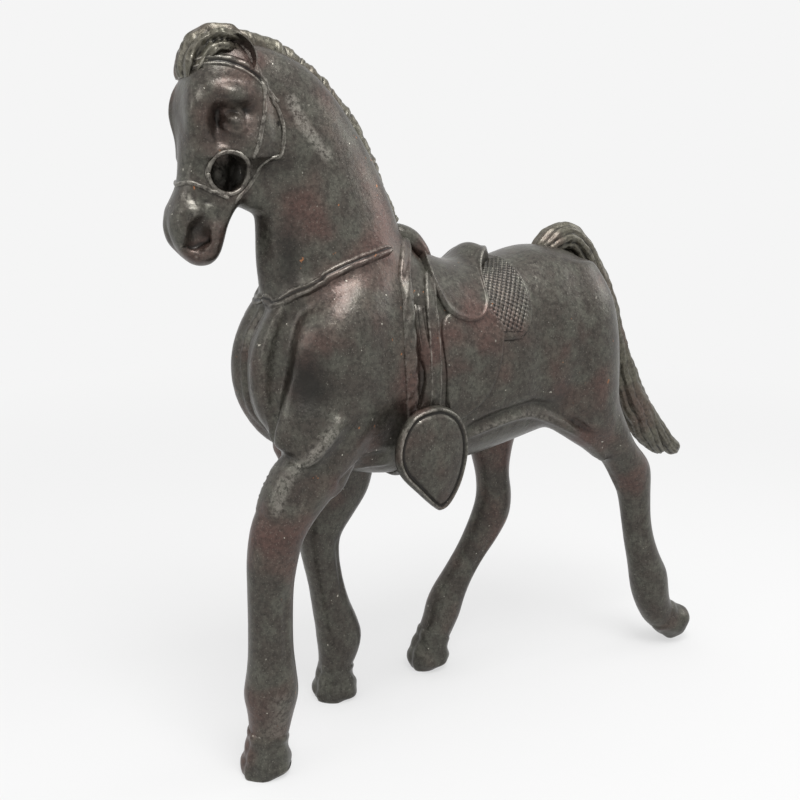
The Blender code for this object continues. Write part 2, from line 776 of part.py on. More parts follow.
def make_shells(finish):
    """The two half castings, hollow, with the rein hole through both cheeks."""
    body = solid_body("body", 0.0)
    boolean(body, bare_body("cavity", -WALL, 1, CAVITY_SIDES), "DIFFERENCE")
    ends = [(REIN_HOLE_FORWARD, left, REIN_HOLE_UP) for left in (-RAY_START, RAY_START)]
    hole = rod("rein_hole", *ends, REIN_HOLE_RADIUS, REIN_HOLE_SIDES)
    boolean(body, hole, "DIFFERENCE")
    body.data.materials.clear()
    body.data.materials.append(finish)
    shells = {}
    for side, name in ((1, "near_body_shell"), (-1, "off_body_shell")):
        shell = duplicate(body, name)
        edge = -side * SEAM_GAP / 2
        limits = sorted((-side * FAR, -edge))
        beyond = box((-FAR, limits[0], -FAR), (FAR, limits[1], FAR))
        boolean(shell, beyond, "DIFFERENCE")
        shells[side] = shell
    bpy.data.objects.remove(body, do_unlink=True)
    return shells


def make_ears(keep_clear, finish):
    for side, name in ((1, "near_ear"), (-1, "off_ear")):
        shape = ((0.0, 1.0, 0.85), (0.42, 1.0, 1.0), (0.77, 0.75, 0.75), (1.0, 0.33, 0.18))
        rows = []
        for (rise, depth, width), spread in zip(shape, EAR_SPREAD):
            forward = EAR_FORWARD + rise * EAR_LEAN
            sizes = (EAR_HALF_DEPTH * depth, EAR_HALF_WIDTH * width, spread)
            rows.append((forward, EAR_UP + rise * EAR_HEIGHT, *sizes))
        ear = loft(name, line_sections(rows[::-1], side * EAR_OFFSET), 10, finish)
        boolean(ear, duplicate(keep_clear, "clearance"), "DIFFERENCE")


def make_forelock(keep_clear, finish):
    """The lock of hair that falls between the ears on to the forehead."""
    rows = [
        (POLL_FORWARD + ahead, POLL_UP - drop, depth, FORELOCK_HALF_WIDTH * share, 0)
        for ahead, drop, depth, share in FORELOCK_SHAPE
    ]
    lock = loft("forelock", line_sections(smoothed(rows, 2), 0.0), 10, finish)
    boolean(lock, duplicate(keep_clear, "clearance"), "DIFFERENCE")


def make_mane(skin, finish):
    """The mane over the crest, falling to the off side."""
    turns = (26, 8, -10, -30, -52, -76)
    grid = []
    for row in smoothed(NECK_OUTLINE[2:-1], 3):
        crest = (row[2], row[3])
        middle = ((row[0] + row[2] * 3) / 4, (row[1] + row[3] * 3) / 4)
        out = Vector((crest[0] - middle[0], crest[1] - middle[1])).normalized()
        places = []
        for turn in turns:
            ahead, aside = math.cos(math.radians(turn)), math.sin(math.radians(turn))
            reach = out * ahead * 30
            start = row_point(middle[0] + reach.x, aside * 30, middle[1] + reach.y)
            places.append(skin.hit(start, row_point(middle[0], 0, middle[1])))
        grid.append(places)
    last = len(turns) - 1
    edges = {0: 0.5, last: 0.4}

    def thickness(i, j):
        lock = 0.12 * math.cos(i * math.pi)
        return MANE_THICKNESS * (edges.get(j, 1.0) + lock)

    plate("mane", skin, grid, GAP, thickness, finish)


def make_bridle(skin, finish):
    """Bit rings, noseband, cheekpieces, browband and crownpiece."""
    slim = even(BRIDLE_THICKNESS)
    centre = Vector((REIN_HOLE_FORWARD, REIN_HOLE_UP))
    start = centre + Vector((-BRIDLE_WIDTH, BIT_RING_OUTER + CHEEKPIECE_START))
    run = Vector((CROWN_FORWARD, BROWBAND_UP + CHEEKPIECE_END)) - start
    route = [start + run * share - Vector((bow, 0)) for share, bow in CHEEKPIECE_SHAPE]
    for side, word in ((1, "near"), (-1, "off")):
        grid = []
        for k in range(BIT_RING_STEPS):
            turn = 2 * math.pi * k / BIT_RING_STEPS
            spoke = Vector((math.cos(turn), math.sin(turn)))
            edges = [centre + spoke * radius for radius in (BIT_RING_INNER, BIT_RING_OUTER)]
            grid.append([side_place(skin, side, at.x, at.y) for at in edges])
        ring_thickness = even(BIT_RING_THICKNESS)
        plate(f"{word}_bit_ring", skin, grid, GAP, ring_thickness, finish, closed=True)
        sizes = (BRIDLE_WIDTH, GAP, BRIDLE_THICKNESS)
        side_strap(f"{word}_cheekpiece", skin, side, route, *sizes, finish)
    half = BRIDLE_WIDTH / 2
    bands = (
        ("noseband", FACE_FORWARD - NOSEBAND_TURN, NOSEBAND_UP, NOSEBAND_SPREAD, 16),
        ("browband", EAR_FORWARD, BROWBAND_UP, BROWBAND_SPREAD, 20),
    )
    for name, middle, up, spread, steps in bands:
        turns = [spread * (2 * i / steps - 1) for i in range(steps + 1)]
        grid = [
            [level_place(skin, middle, turn, up + step * half) for step in (-1, 0, 1)]
            for turn in turns
        ]
        plate(name, skin, grid, GAP, slim, finish)
    turns = [180 + CROWN_SPREAD * (2 * i / 20 - 1) for i in range(21)]
    grid = [
        [upright_place(skin, CROWN_FORWARD + s * half, EAR_UP, turn) for s in (-1, 0, 1)]
        for turn in turns
    ]
    plate("crownpiece", skin, grid, GAP + CROWN_EASE, slim, finish)


def make_straps(skin, finish):
    """Breast straps, girth and stirrup leathers."""
    thick = even(STRAP_THICKNESS)
    for side, word in ((1, "near"), (-1, "off")):
        route = smoothed(BREAST_STRAP_ROUTE, 3)
        middle = CHEST_FORWARD - BREAST_STRAP_TURN
        first = math.degrees(math.asin(SEAM_GAP / 2 / BREAST_STRAP_TURN))
        grid = []
        for turn, up in route:
            at = side * max(turn, first)
            steps = [up + s * BREAST_STRAP_WIDTH / 2 for s in (-1, 0, 1)]
            grid.append([level_place(skin, middle, at, step) for step in steps])
        plate(f"{word}_breast_strap", skin, grid, GAP, thick, finish)
        name = f"{word}_stirrup_leather"
        sizes = (LEATHER_WIDTH, LAYER_TWO, STRAP_THICKNESS)
        side_strap(name, skin, side, LEATHER_ROUTE, *sizes, finish)
    turns = [GIRTH_TOP_ANGLE * (2 * i / 44 - 1) for i in range(45)]
    edges = [GIRTH_FORWARD + side * GIRTH_WIDTH / 2 for side in (-1, 0, 1)]
    grid = [
        [upright_place(skin, forward, BARREL_MIDDLE_UP, turn) for forward in edges]
        for turn in turns
    ]
    plate("girth", skin, grid, GAP, thick, finish)


def make_saddle(skin, keep_clear, finish, worn):
    """Blanket, seat with its cantle, horn, flaps and fenders."""
    half = smoothed(BLANKET_BACK_ROWS, 2)
    backs = half + half[-2::-1]
    grid = []
    for i, (back,) in enumerate(backs):
        turn = BLANKET_HEM_ANGLE + (180 - BLANKET_HEM_ANGLE) * i * 2 / (len(backs) - 1)
        steps = [BLANKET_FRONT + (back - BLANKET_FRONT) * j / 9 for j in range(10)]
        grid.append([upright_place(skin, at, BARREL_MIDDLE_UP, turn) for at in steps])
    plate("saddle_blanket", skin, grid, GAP, even(BLANKET_THICKNESS), worn)

    columns, rows = 9, 11
    grid = []
    for i in range(rows):
        forward = SEAT_FRONT + (SEAT_BACK - SEAT_FRONT) * i / (rows - 1)
        places = []
        for j in range(columns):
            left = SEAT_HALF_WIDTH * (2 * j / (columns - 1) - 1)
            places.append(top_place(skin, forward, left))
        grid.append(places)

    def seat_thickness(i, j):
        share = i / (rows - 1)
        cantle = math.exp(-(((share - 0.9) / 0.17) ** 2))
        edge = abs(2 * j / (columns - 1) - 1)
        return SEAT_THICKNESS + CANTLE_RISE * cantle * (1 - 0.45 * edge * edge)

    plate("saddle_seat", skin, grid, LAYER_TWO, seat_thickness, worn)
    flap_top = top_place(skin, SEAT_FRONT, SEAT_HALF_WIDTH)[0].z / MM - FLAP_BELOW_SEAT
    panels = (
        ("saddle_flap", FLAP_ROWS, 8, FLAP_THICKNESS),
        ("fender", FENDER_ROWS, 6, FENDER_THICKNESS),
    )
    for side, word in ((1, "near"), (-1, "off")):
        for name, outline, columns, thickness in panels:
            rows = [(flap_top - drop, front, back) for drop, front, back in outline]
            sizes = (columns, LAYER_TWO, thickness)
            side_panel(f"{word}_{name}", skin, side, rows, *sizes, worn)
    base = SEAT_FRONT + GAP + HORN_HALF_DEPTH + 0.1
    foot = top_place(skin, base, 0)[0].z / MM - HORN_ROOT
    rise = HORN_HEIGHT + HORN_ROOT
    rows = (
        (base + 0.4, foot, HORN_HALF_DEPTH, HORN_HALF_WIDTH, 0),
        (base + 0.2, foot + rise * 0.48, HORN_HALF_DEPTH, HORN_HALF_WIDTH, 0),
        (base - 0.1, foot + rise * 0.79, HORN_HALF_DEPTH * 0.8, HORN_HALF_WIDTH * 0.8, 0),
        (base - 0.2, foot + rise, HORN_HALF_DEPTH * 0.58, HORN_HALF_WIDTH * 0.5, 0),
    )
    horn = loft("saddle_horn", line_sections(rows[::-1], 0.0), 12, finish)
    boolean(horn, duplicate(keep_clear, "clearance"), "DIFFERENCE")


def make_stirrups(skin, finish):
    """Hooded stirrups: domed spade-shaped plates hung over the ends of the leathers."""
    leather = side_place(skin, 1, *LEATHER_ROUTE[-2])[0].x / MM
    beside_leg = max(row[3] + FORELEG_OFFSET * row[4] for row in OFF_FORELEG)
    seat = max(leather + LAYER_TWO + STRAP_THICKNESS, beside_leg) + GAP
    middle = Vector(STIRRUP_MIDDLE)
    for side, word in ((1, "near"), (-1, "off")):
        made = bmesh.new()
        layers = []
        for extra in (0.0, STIRRUP_THICKNESS):
            loops = []
            for share in STIRRUP_RINGS:
                bulge = STIRRUP_BULGE * (1 - share * share) + STIRRUP_RIM * (share == 1.0)
                loop = []
                for point in STIRRUP_OUTLINE:
                    at = middle + (Vector(point) - middle) * share
                    left = side * (seat + extra + bulge)
                    loop.append(made.verts.new(row_point(at.x, left, at.y)))
                loops.append(loop)
            peak_left = side * (seat + extra + STIRRUP_BULGE)
            peak = made.verts.new(row_point(middle.x, peak_left, middle.y))
            count = len(STIRRUP_OUTLINE)
            for k in range(count):
                nxt = (k + 1) % count
                made.faces.new((peak, loops[0][k], loops[0][nxt]))
                for one, two in zip(loops, loops[1:]):
                    made.faces.new((one[k], two[k], two[nxt], one[nxt]))
            layers.append(loops[-1])
        inner, outer = layers
        for k in range(len(inner)):
            nxt = (k + 1) % len(inner)
            made.faces.new((inner[k], outer[k], outer[nxt], inner[nxt]))
        bmesh.ops.recalc_face_normals(made, faces=made.faces)
        make_object(f"{word}_stirrup", made, finish)


def main():
    clear_scene()
    bronze = material("bronze", BRONZE, 0.45)
    worn = material("worn_bronze", WORN_BRONZE, 0.5)
    dark = material("dark_bronze", DARK_BRONZE, 0.55)
    outer = solid_body("outer", 0.0)
    skin = Skin(outer)
    bpy.data.objects.remove(outer, do_unlink=True)
    keep_clear = solid_body("keep_clear", GAP)
    shells = make_shells(bronze)
    make_legs(skin, keep_clear, shells, bronze, dark)
    make_tail(keep_clear, skin, shells, dark)
    make_ears(keep_clear, bronze)
    make_forelock(keep_clear, dark)
    make_mane(skin, dark)
    make_bridle(skin, worn)
    make_straps(skin, worn)
    make_saddle(skin, keep_clear, worn, worn)
    make_stirrups(skin, worn)
    bpy.data.objects.remove(keep_clear, do_unlink=True)


main()
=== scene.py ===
"""The looks of a cast-metal saddle horse: sculpted surfaces, worn patina, stage and camera.

Every form is a surface of two parameters worked out with numpy. Sizes are in millimetres in
the horse's own directions, forward, left (its near side) and up, and they become metres in
the frame's axes when a mesh is made: the horse faces -Y and its near side is +X.
"""

from __future__ import annotations

import logging
from dataclasses import dataclass
from enum import Enum
from typing import Callable

import bmesh
import bpy
import numpy as np
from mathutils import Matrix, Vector


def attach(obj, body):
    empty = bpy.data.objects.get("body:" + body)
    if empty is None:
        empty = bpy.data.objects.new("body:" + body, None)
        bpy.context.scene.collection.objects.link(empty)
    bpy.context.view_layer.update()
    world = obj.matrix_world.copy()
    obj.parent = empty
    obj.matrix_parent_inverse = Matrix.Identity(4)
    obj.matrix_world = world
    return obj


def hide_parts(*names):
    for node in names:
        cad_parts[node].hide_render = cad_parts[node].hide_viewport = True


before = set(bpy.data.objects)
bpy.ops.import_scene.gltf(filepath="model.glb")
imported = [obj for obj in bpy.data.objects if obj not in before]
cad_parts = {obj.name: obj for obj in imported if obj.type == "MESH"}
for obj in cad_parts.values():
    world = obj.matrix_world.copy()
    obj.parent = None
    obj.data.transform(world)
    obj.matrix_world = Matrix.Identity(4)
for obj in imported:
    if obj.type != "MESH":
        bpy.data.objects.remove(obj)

Array = np.ndarray
Object = bpy.types.Object
Socket = bpy.types.NodeSocket
Tree = bpy.types.NodeTree
Point = tuple[float, float, float]
Rows = tuple[tuple[float, ...], ...]
MM = 0.001
BODY = "root"
LOG = logging.getLogger("horse")

# The frame's origin lies this far from the horse's own zero, along forward
ORIGIN_FORWARD = -9.5

# The head, whose mesh is finer than the rest of the hide, lies above and ahead of these
HEAD_FROM_UP = 83.0
HEAD_FROM_FORWARD = 27.0


class Side(Enum):
    """The two sides of the horse, as the sign of the left axis."""

    NEAR = 1
    OFF = -1


class Slot(Enum):
    """The record's material slots."""

    BODY = "bronze_body"
    TACK = "bronze_tack"
    HAIR = "bronze_hair_and_hoof"


def to_frame(points: Array) -> Array:
    """Turns horse millimetres (forward, left, up) into frame metres (x, y, z).

    Args:
        points: an array whose last axis holds forward, left and up.

    Returns:
        An array of the same shape with x = left, y = ORIGIN_FORWARD - forward, z = up.
    """
    forward, left, up = points[..., 0], points[..., 1], points[..., 2]
    return np.stack([left, ORIGIN_FORWARD - forward, up], axis=-1) * MM


def to_horse(points: Array) -> Array:
    """Turns frame metres into horse millimetres, the inverse of to_frame.

    Args:
        points: an array whose last axis holds x, y and z.

    Returns:
        An array of the same shape that holds forward, left and up.
    """
    x, y, z = points[..., 0] / MM, points[..., 1] / MM, points[..., 2] / MM
    return np.stack([ORIGIN_FORWARD - y, x, z], axis=-1)


def through(rows: Array | Rows, steps: int) -> Array:
    """A Catmull-Rom curve through the rows.

    Between rows i and i + 1 each column is the cubic that meets both rows, with slopes of
    half the difference of the rows on either side.

    Args:
        rows: (n, k) values.
        steps: samples from one row to the next.

    Returns:
        ((n - 1) * steps + 1, k) values.
    """
    rows = np.asarray(rows, dtype=float)
    last = len(rows) - 1
    at = np.linspace(0, last, last * steps + 1)
    i = np.minimum(at.astype(int), last - 1)
    t = (at - i)[:, None]
    p0, p1 = rows[np.maximum(i - 1, 0)], rows[i]
    p2, p3 = rows[i + 1], rows[np.minimum(i + 2, last)]
    line = 2 * p1 + (p2 - p0) * t
    bend = (2 * p0 - 5 * p1 + 4 * p2 - p3) * t**2 + (3 * p1 - p0 - 3 * p2 + p3) * t**3
    return 0.5 * (line + bend)


def unit(vectors: Array) -> Array:
    """The vectors along the last axis, each divided by its length."""
    return vectors / np.maximum(np.linalg.norm(vectors, axis=-1, keepdims=True), 1e-12)


def turns(count: int) -> Array:
    """Equal turns from 0 round a circle, in radians, without its start again at the end."""
    return 2 * np.pi * np.arange(count) / count


def ahead_of(line: Array) -> Array:
    """Unit vectors square to an (n, 2) line, each a quarter turn on from the line's run."""
    run = unit(np.gradient(line, axis=0))
    return np.stack([-run[:, 1], run[:, 0]], axis=1)


def length_along(line: Array) -> Array:
    """How far each point of a line lies from its start, measured along it."""
    return np.concatenate([[0], np.cumsum(np.linalg.norm(np.diff(line, axis=0), axis=1))])


def signed_power(values: Array, power: float) -> Array:
    """The sign of each value times its size raised to a power."""
    return np.sign(values) * np.abs(values) ** power


def grid_faces(rows: int, columns: int, wrap: bool) -> Array:
    """Quads of a rows by columns grid of points.

    Args:
        rows: points along the first parameter.
        columns: points along the second.
        wrap: whether the second parameter closes on itself.

    Returns:
        (m, 4) vertex numbers.
    """
    i, j = np.meshgrid(
        np.arange(rows - 1), np.arange(columns if wrap else columns - 1), indexing="ij"
    )
    nxt = (j + 1) % columns
    quads = [i * columns + j, i * columns + nxt, (i + 1) * columns + nxt, (i + 1) * columns + j]
    return np.stack(quads, axis=-1).reshape(-1, 4)


def linked(name: str, data: bpy.types.ID) -> Object:
    """A new object that holds the data, in the scene.

    Args:
        name: the object's name.
        data: a mesh, lamp or camera.

    Returns:
        The object.
    """
    obj = bpy.data.objects.new(name, data)
    bpy.context.scene.collection.objects.link(obj)
    return obj


def new_mesh(name: str, points: Array, quads: Array, triangles: Array | None = None) -> Object:
    """A mesh object at the origin from points in frame metres.

    Args:
        name: the object's name.
        points: (n, 3) places.
        quads: (m, 4) vertex numbers.
        triangles: (k, 3) vertex numbers, or None.

    Returns:
        The linked object, smooth shaded.
    """
    mesh = bpy.data.meshes.new(name)
    faces = quads.tolist() + ([] if triangles is None else triangles.tolist())
    mesh.from_pydata(points.tolist(), [], faces)
    mesh.validate()
    mesh.shade_smooth()
    return linked(name, mesh)


def tube(name: str, rings: Array) -> Object:
    """A closed skin over rings of points, with a pole at each end.

    Args:
        name: the object's name.
        rings: (rows, columns, 3) horse millimetres. Each row is a closed ring.

    Returns:
        The object.
    """
    rows, columns = rings.shape[:2]
    poles = np.stack([rings[0].mean(axis=0), rings[-1].mean(axis=0)])
    points = np.concatenate([rings.reshape(-1, 3), poles])
    j = np.arange(columns)
    nxt = (j + 1) % columns
    first, last = rows * columns, rows * columns + 1
    base = (rows - 1) * columns
    start = np.stack([np.full(columns, first), nxt, j], axis=-1)
    end = np.stack([np.full(columns, last), base + j, base + nxt], axis=-1)
    obj = new_mesh(name, to_frame(points), grid_faces(rows, columns, True), np.concatenate([start, end]))
    turn_outwards(obj)
    return obj


def raised_strip(name: str, on_hide: Array, up: Array, rise: Array, sink: float) -> Object:
    """A closed skin over a strip of the hide.

    Args:
        name: the object's name.
        on_hide: (rows, columns, 3) points on the hide.
        up: (rows, columns, 3) unit vectors away from it.
        rise: (rows, columns) heights of the top.
        sink: how far below the hide the underside lies.

    Returns:
        The object.
    """
    top, bottom = on_hide + up * rise[..., None], on_hide - up * sink
    return tube(name, np.concatenate([top, bottom[:, ::-1]], axis=1))


def signed_volume(obj: Object) -> float:
    """The volume of a closed mesh, negative when its faces point inwards.

    It is the sum over all triangles of a . (b x c) / 6.

    Args:
        obj: the object.

    Returns:
        Cubic metres.
    """
    mesh = obj.data
    mesh.calc_loop_triangles()
    corners = np.empty(len(mesh.loop_triangles) * 3, dtype=np.int32)
    mesh.loop_triangles.foreach_get("vertices", corners)
    a, b, c = np.moveaxis(read_points(obj)[corners.reshape(-1, 3)], 1, 0)
    return float(np.einsum("ij,ij->i", a, np.cross(b, c)).sum() / 6)


def turn_outwards(obj: Object) -> None:
    """Flips every face of a closed mesh whose volume is negative."""
    if signed_volume(obj) < 0:
        obj.data.flip_normals()


def read_points(obj: Object) -> Array:
    """The (n, 3) places of the object's vertices, in frame metres.

    Args:
        obj: the object.

    Returns:
        (n, 3) frame metres.
    """
    flat = np.empty(len(obj.data.vertices) * 3)
    obj.data.vertices.foreach_get("co", flat)
    return flat.reshape(-1, 3)


def write_points(obj: Object, points: Array) -> None:
    """Moves the object's vertices to the (n, 3) places."""
    obj.data.vertices.foreach_set("co", points.ravel())
    obj.data.update()


def read_normals(obj: Object) -> Array:
    """The (n, 3) smooth normals at the object's vertices.

    Args:
        obj: the object.

    Returns:
        (n, 3) unit vectors.
    """
    flat = np.empty(len(obj.data.vertices) * 3)
    obj.data.vertex_normals.foreach_get("vector", flat)
    return flat.reshape(-1, 3)


def read_edges(obj: Object) -> Array:
    """The (m, 2) vertex numbers of the object's edges.

    Args:
        obj: the object.

    Returns:
        (m, 2) vertex numbers.
    """
    flat = np.empty(len(obj.data.edges) * 2, dtype=np.int32)
    obj.data.edges.foreach_get("vertices", flat)
    return flat.reshape(-1, 2)


def neighbour_mean(values: Array, edges: Array, count: Array) -> Array:
    """At each vertex, the mean of the values at the vertices that share an edge with it.

    Args:
        values: (n, k) values at the vertices.
        edges: (m, 2) vertex numbers.
        count: how many edges each vertex has.

    Returns:
        (n, k) means.
    """
    size = len(values)
    columns = [
        np.bincount(edges[:, 0], values[edges[:, 1], k], size)
        + np.bincount(edges[:, 1], values[edges[:, 0], k], size)
        for k in range(values.shape[1])
    ]
    return np.stack(columns, axis=1) / count[:, None]


def relax(values: Array, edges: Array, rounds: int, share: float = 0.5) -> Array:
    """Moves each value part of the way to its neighbours' mean, again and again.

    Args:
        values: (n, k) values at the vertices.
        edges: (m, 2) vertex numbers.
        rounds: how often.
        share: how far each time, from 0 to 1.

    Returns:
        The smoothed values.
    """
    count = np.maximum(np.bincount(edges.ravel(), minlength=len(values)), 1)
    for _ in range(rounds):
        values = values + share * (neighbour_mean(values, edges, count) - values)
    return values


def with_modifiers(obj: Object) -> None:
    """Replaces the object's mesh by what its modifiers make of it.

    Args:
        obj: the object.
    """
    bpy.context.view_layer.update()
    graph = bpy.context.evaluated_depsgraph_get()
    made = bpy.data.meshes.new_from_object(obj.evaluated_get(graph))
    obj.modifiers.clear()
    obj.data = made


def discard(obj: Object) -> None:
    """Removes a helper object."""
    bpy.data.objects.remove(obj, do_unlink=True)


def joined(name: str, parts: list[Object]) -> Object:
    """One object that holds the faces of several, which are removed.

    Args:
        name: the new object's name.
        parts: the objects.

    Returns:
        The joined object.
    """
    points, faces, start = [], [], 0
    for part in parts:
        points.append(read_points(part))
        faces += [[start + v for v in polygon.vertices] for polygon in part.data.polygons]
        start += len(part.data.vertices)
        discard(part)
    mesh = bpy.data.meshes.new(name)
    mesh.from_pydata(np.concatenate(points).tolist(), [], faces)
    return linked(name, mesh)


# ---------------------------------------------------------------------------
# Forms that the body is built up from


@dataclass(frozen=True)
class Form:
    """A tapering solid whose cross-sections are rounded slabs across the centre plane.

    Each row holds the section's front edge (forward, up), its back edge (forward, up), its
    half width and its offset to the left. A point of a section at turn a is the section's
    middle, plus its half depth times cos a towards the front edge, plus its half width
    times sin a to the left, with both powers of cos and sin set by the squareness.
    """

    name: str
    rows: Rows
    square: float = 2.0
    pinch: float = 0.0
    steps: int = 5
    sides: int = 40

    def rings(self, grow: float = 0.0) -> Array:
        """The form's cross-sections.

        Args:
            grow: how far each section is grown outwards.

        Returns:
            (rows, sides, 3) horse millimetres.
        """
        rows = through(self.rows, self.steps)
        front, back = rows[:, 0:2], rows[:, 2:4]
        middle, reach = (front + back) / 2, (front - back) / 2
        length = np.linalg.norm(reach, axis=1, keepdims=True)
        reach = reach / length * np.maximum(length + grow, 0.15)
        half = np.maximum(rows[:, 4] + grow, 0.15)
        turn = turns(self.sides)
        along = signed_power(np.cos(turn), 2 / self.square)
        aside = signed_power(np.sin(turn), 2 / self.square)
        width = half[:, None] * (1 + self.pinch * along) * aside
        ring = middle[:, None, :] + reach[:, None, :] * along[None, :, None]
        left = rows[:, 5, None] + width
        return np.stack([ring[..., 0], left, ring[..., 1]], axis=-1)

    def build(self, grow: float = 0.0) -> Object:
        """The form as a closed mesh."""
        return tube(self.name, self.rings(grow))


def limb(name: str, rows: Rows, offset: float, square: float = 2.0) -> Form:
    """A form whose sections stand square to a centre line in the side view.

    Args:
        name: the form's name.
        rows: forward, up, half depth, half width and share of the offset, down the limb.
        offset: how far left of the centre plane the limb stands.
        square: the sections' squareness.

    Returns:
        The form, whose front edges lie ahead of the centre line.
    """
    table = np.array(rows)
    ahead = ahead_of(table[:, 0:2]) * table[:, 2:3]
    front, back = table[:, 0:2] + ahead, table[:, 0:2] - ahead
    columns = [front, back, table[:, 3:4], table[:, 4:5] * offset]
    return Form(name, tuple(map(tuple, np.hstack(columns))), square)


def upright(name: str, rows: Rows, square: float, pinch: float) -> Form:
    """A form with upright sections, from rows of forward, top, bottom and half width."""
    table = [(f, top, f, bottom, half, 0.0) for f, top, bottom, half in rows]
    return Form(name, tuple(table), square, pinch)


BARREL = upright(
    "barrel",
    (
        (34.8, 70, 63.5, 3), (34, 73.5, 60.2, 6), (31.2, 77, 57.2, 8.4), (29.2, 79.6, 54.4, 10.5),
        (26, 82.4, 51.8, 11.9), (18, 85.4, 48.4, 12.6), (10, 86.4, 46.8, 12.7), (2, 84.4, 46.8, 12.8),
        (-6, 82.8, 47.6, 13.2), (-14, 84.2, 49, 13.5), (-21, 85.8, 50.4, 13.6),
        (-27.5, 85.3, 51.6, 13.2), (-32.5, 83.2, 53.6, 12.2), (-36.4, 80, 56.8, 10),
        (-39.2, 75.6, 61, 6.8), (-40.6, 72, 65, 3),
    ),
    2.25,
    -0.04,
)

NECK = Form(
    "neck",
    (
        (32.2, 66, 2, 80.5, 10.8, 0), (32.2, 72, 4, 86, 9.9, 0), (31.5, 78, 7, 90, 8.7, 0),
        (31.9, 84.5, 9, 95, 7.6, 0), (31.8, 91, 11.5, 100.3, 6.7, 0), (32.2, 96, 14.8, 105.6, 6.1, 0),
        (32, 101, 18.6, 110.6, 5.7, 0), (31.8, 106, 23.2, 114.8, 5.1, 0),
        (33.2, 109.5, 28.8, 117.3, 4.5, 0), (36, 111.5, 33.8, 118.1, 3.6, 0),
    ),
    2.1,
    0.12,
)

HEAD = Form(
    "head",
    (
        (37.6, 118.4, 33.4, 117.8, 2.4, 0), (40.4, 116.8, 31.9, 115.9, 4.2, 0),
        (42.6, 114.2, 30.8, 113, 5.2, 0), (44, 110.8, 30.3, 109.6, 5.8, 0),
        (44.5, 107.2, 29.9, 106, 5.9, 0), (44.2, 103.6, 29.9, 102.6, 5.3, 0),
        (44.4, 100.2, 31.2, 99.4, 4.7, 0), (44.9, 97, 33.9, 96.2, 4.4, 0),
        (46.3, 94.2, 36.4, 93.6, 4.3, 0), (47.2, 91.2, 38, 90.8, 4.3, 0),
        (46.5, 88.4, 38.8, 88, 3.9, 0), (44.8, 86.3, 39.6, 86, 3, 0), (43, 84.7, 41, 84.6, 1.4, 0),
    ),
    3.1,
    -0.06,
    6,
    56,
)

THROAT = Form(
    "throat",
    (
        (35.4, 101.5, 30, 101.5, 2.4, 0), (35.8, 98.6, 29.8, 98.6, 3.4, 0), (35.9, 96, 30, 96, 3.6, 0),
        (35.4, 94.2, 30.4, 94.2, 3.2, 0), (34.4, 93.2, 31.2, 93.2, 1.8, 0),
    ),
)

NEAR_FORELEG = limb(
    "near_foreleg",
    (
        (20, 64, 6.6, 3.4, 0.86), (23.2, 58, 7.2, 4.5, 0.94), (26.7, 52.4, 5.9, 4.6, 0.99),
        (30.5, 47.6, 4.9, 4.4, 1.01), (33.7, 42.8, 4.5, 4.2, 1.02), (34.9, 38, 4.2, 4, 1.01),
        (35.4, 33, 3.8, 3.7, 1), (35.6, 27, 3.7, 3.5, 1), (35.7, 21.5, 3.8, 3.6, 1),
        (35.7, 17.5, 4.2, 4, 1), (35.9, 14, 4.6, 4.3, 1), (36.1, 10.8, 3.9, 3.8, 1),
        (36.4, 8, 3.4, 3.5, 1), (36.8, 5.5, 3.2, 3.3, 1),
    ),
    8.0,
)

OFF_FORELEG = limb(
    "off_foreleg",
    (
        (18.6, 62, 7, 3.4, 0.84), (18.2, 54, 8.5, 4.6, 0.92), (16.3, 47.5, 9.3, 4.8, 0.98),
        (16.1, 42.5, 7.9, 4.5, 1), (17.4, 38, 5.7, 4.2, 1), (18.6, 33.5, 4.1, 3.8, 1),
        (18.3, 29, 3.5, 3.4, 1), (17.4, 24, 3.3, 3.2, 1), (16.4, 19, 3.6, 3.4, 1),
        (15.3, 15, 4.1, 3.7, 1), (14.7, 12, 4.4, 4, 1), (15, 9.2, 3.9, 3.7, 1),
        (15.6, 6.6, 3.2, 3.3, 1), (15.9, 4.6, 3.2, 3.3, 1),
    ),
    -8.2,
)

NEAR_HIND_LEG = limb(
    "near_hind_leg",
    (
        (-30.2, 66, 6.8, 3.6, 0.86), (-30.8, 59.2, 7.2, 4.7, 0.94), (-32.8, 53.6, 6, 4.7, 1),
        (-36.5, 49, 4.5, 4.3, 1.02), (-39.9, 44.8, 3.7, 3.9, 1.02), (-43.7, 39.9, 4.3, 3.6, 1.01),
        (-45, 35.5, 3.4, 3.2, 1), (-45.9, 30, 3, 3, 1), (-47.1, 25, 3.1, 3, 1),
        (-48.8, 20.2, 3.5, 3.2, 1), (-50.4, 16.2, 4.1, 3.7, 1), (-51.2, 13, 4, 3.7, 1),
        (-52.3, 9.8, 3.6, 3.5, 1), (-54, 7, 3.4, 3.4, 1), (-56.2, 5, 3.1, 3.2, 1),
    ),
    8.0,
)

OFF_HIND_LEG = limb(
    "off_hind_leg",
    (
        (-24, 64, 8.6, 3.6, 0.86), (-21.4, 55, 7.4, 4.7, 0.94), (-20.6, 48.6, 5.6, 4.5, 0.99),
        (-20.8, 43.5, 4.2, 3.9, 1), (-21.2, 39, 3.4, 3.4, 1), (-21.7, 34.8, 3.7, 3.3, 1),
        (-21.2, 31, 4, 3.3, 1), (-19, 27, 3.6, 3.1, 1), (-16, 22.8, 3, 2.9, 1), (-13, 18.6, 3, 3, 1),
        (-10.6, 14.8, 3.5, 3.3, 1), (-9.4, 12, 3.7, 3.5, 1), (-8.4, 9.4, 3.3, 3.4, 1),
        (-7.2, 7, 3.2, 3.3, 1), (-6.4, 5, 3.2, 3.3, 1),
    ),
    -8.4,
)

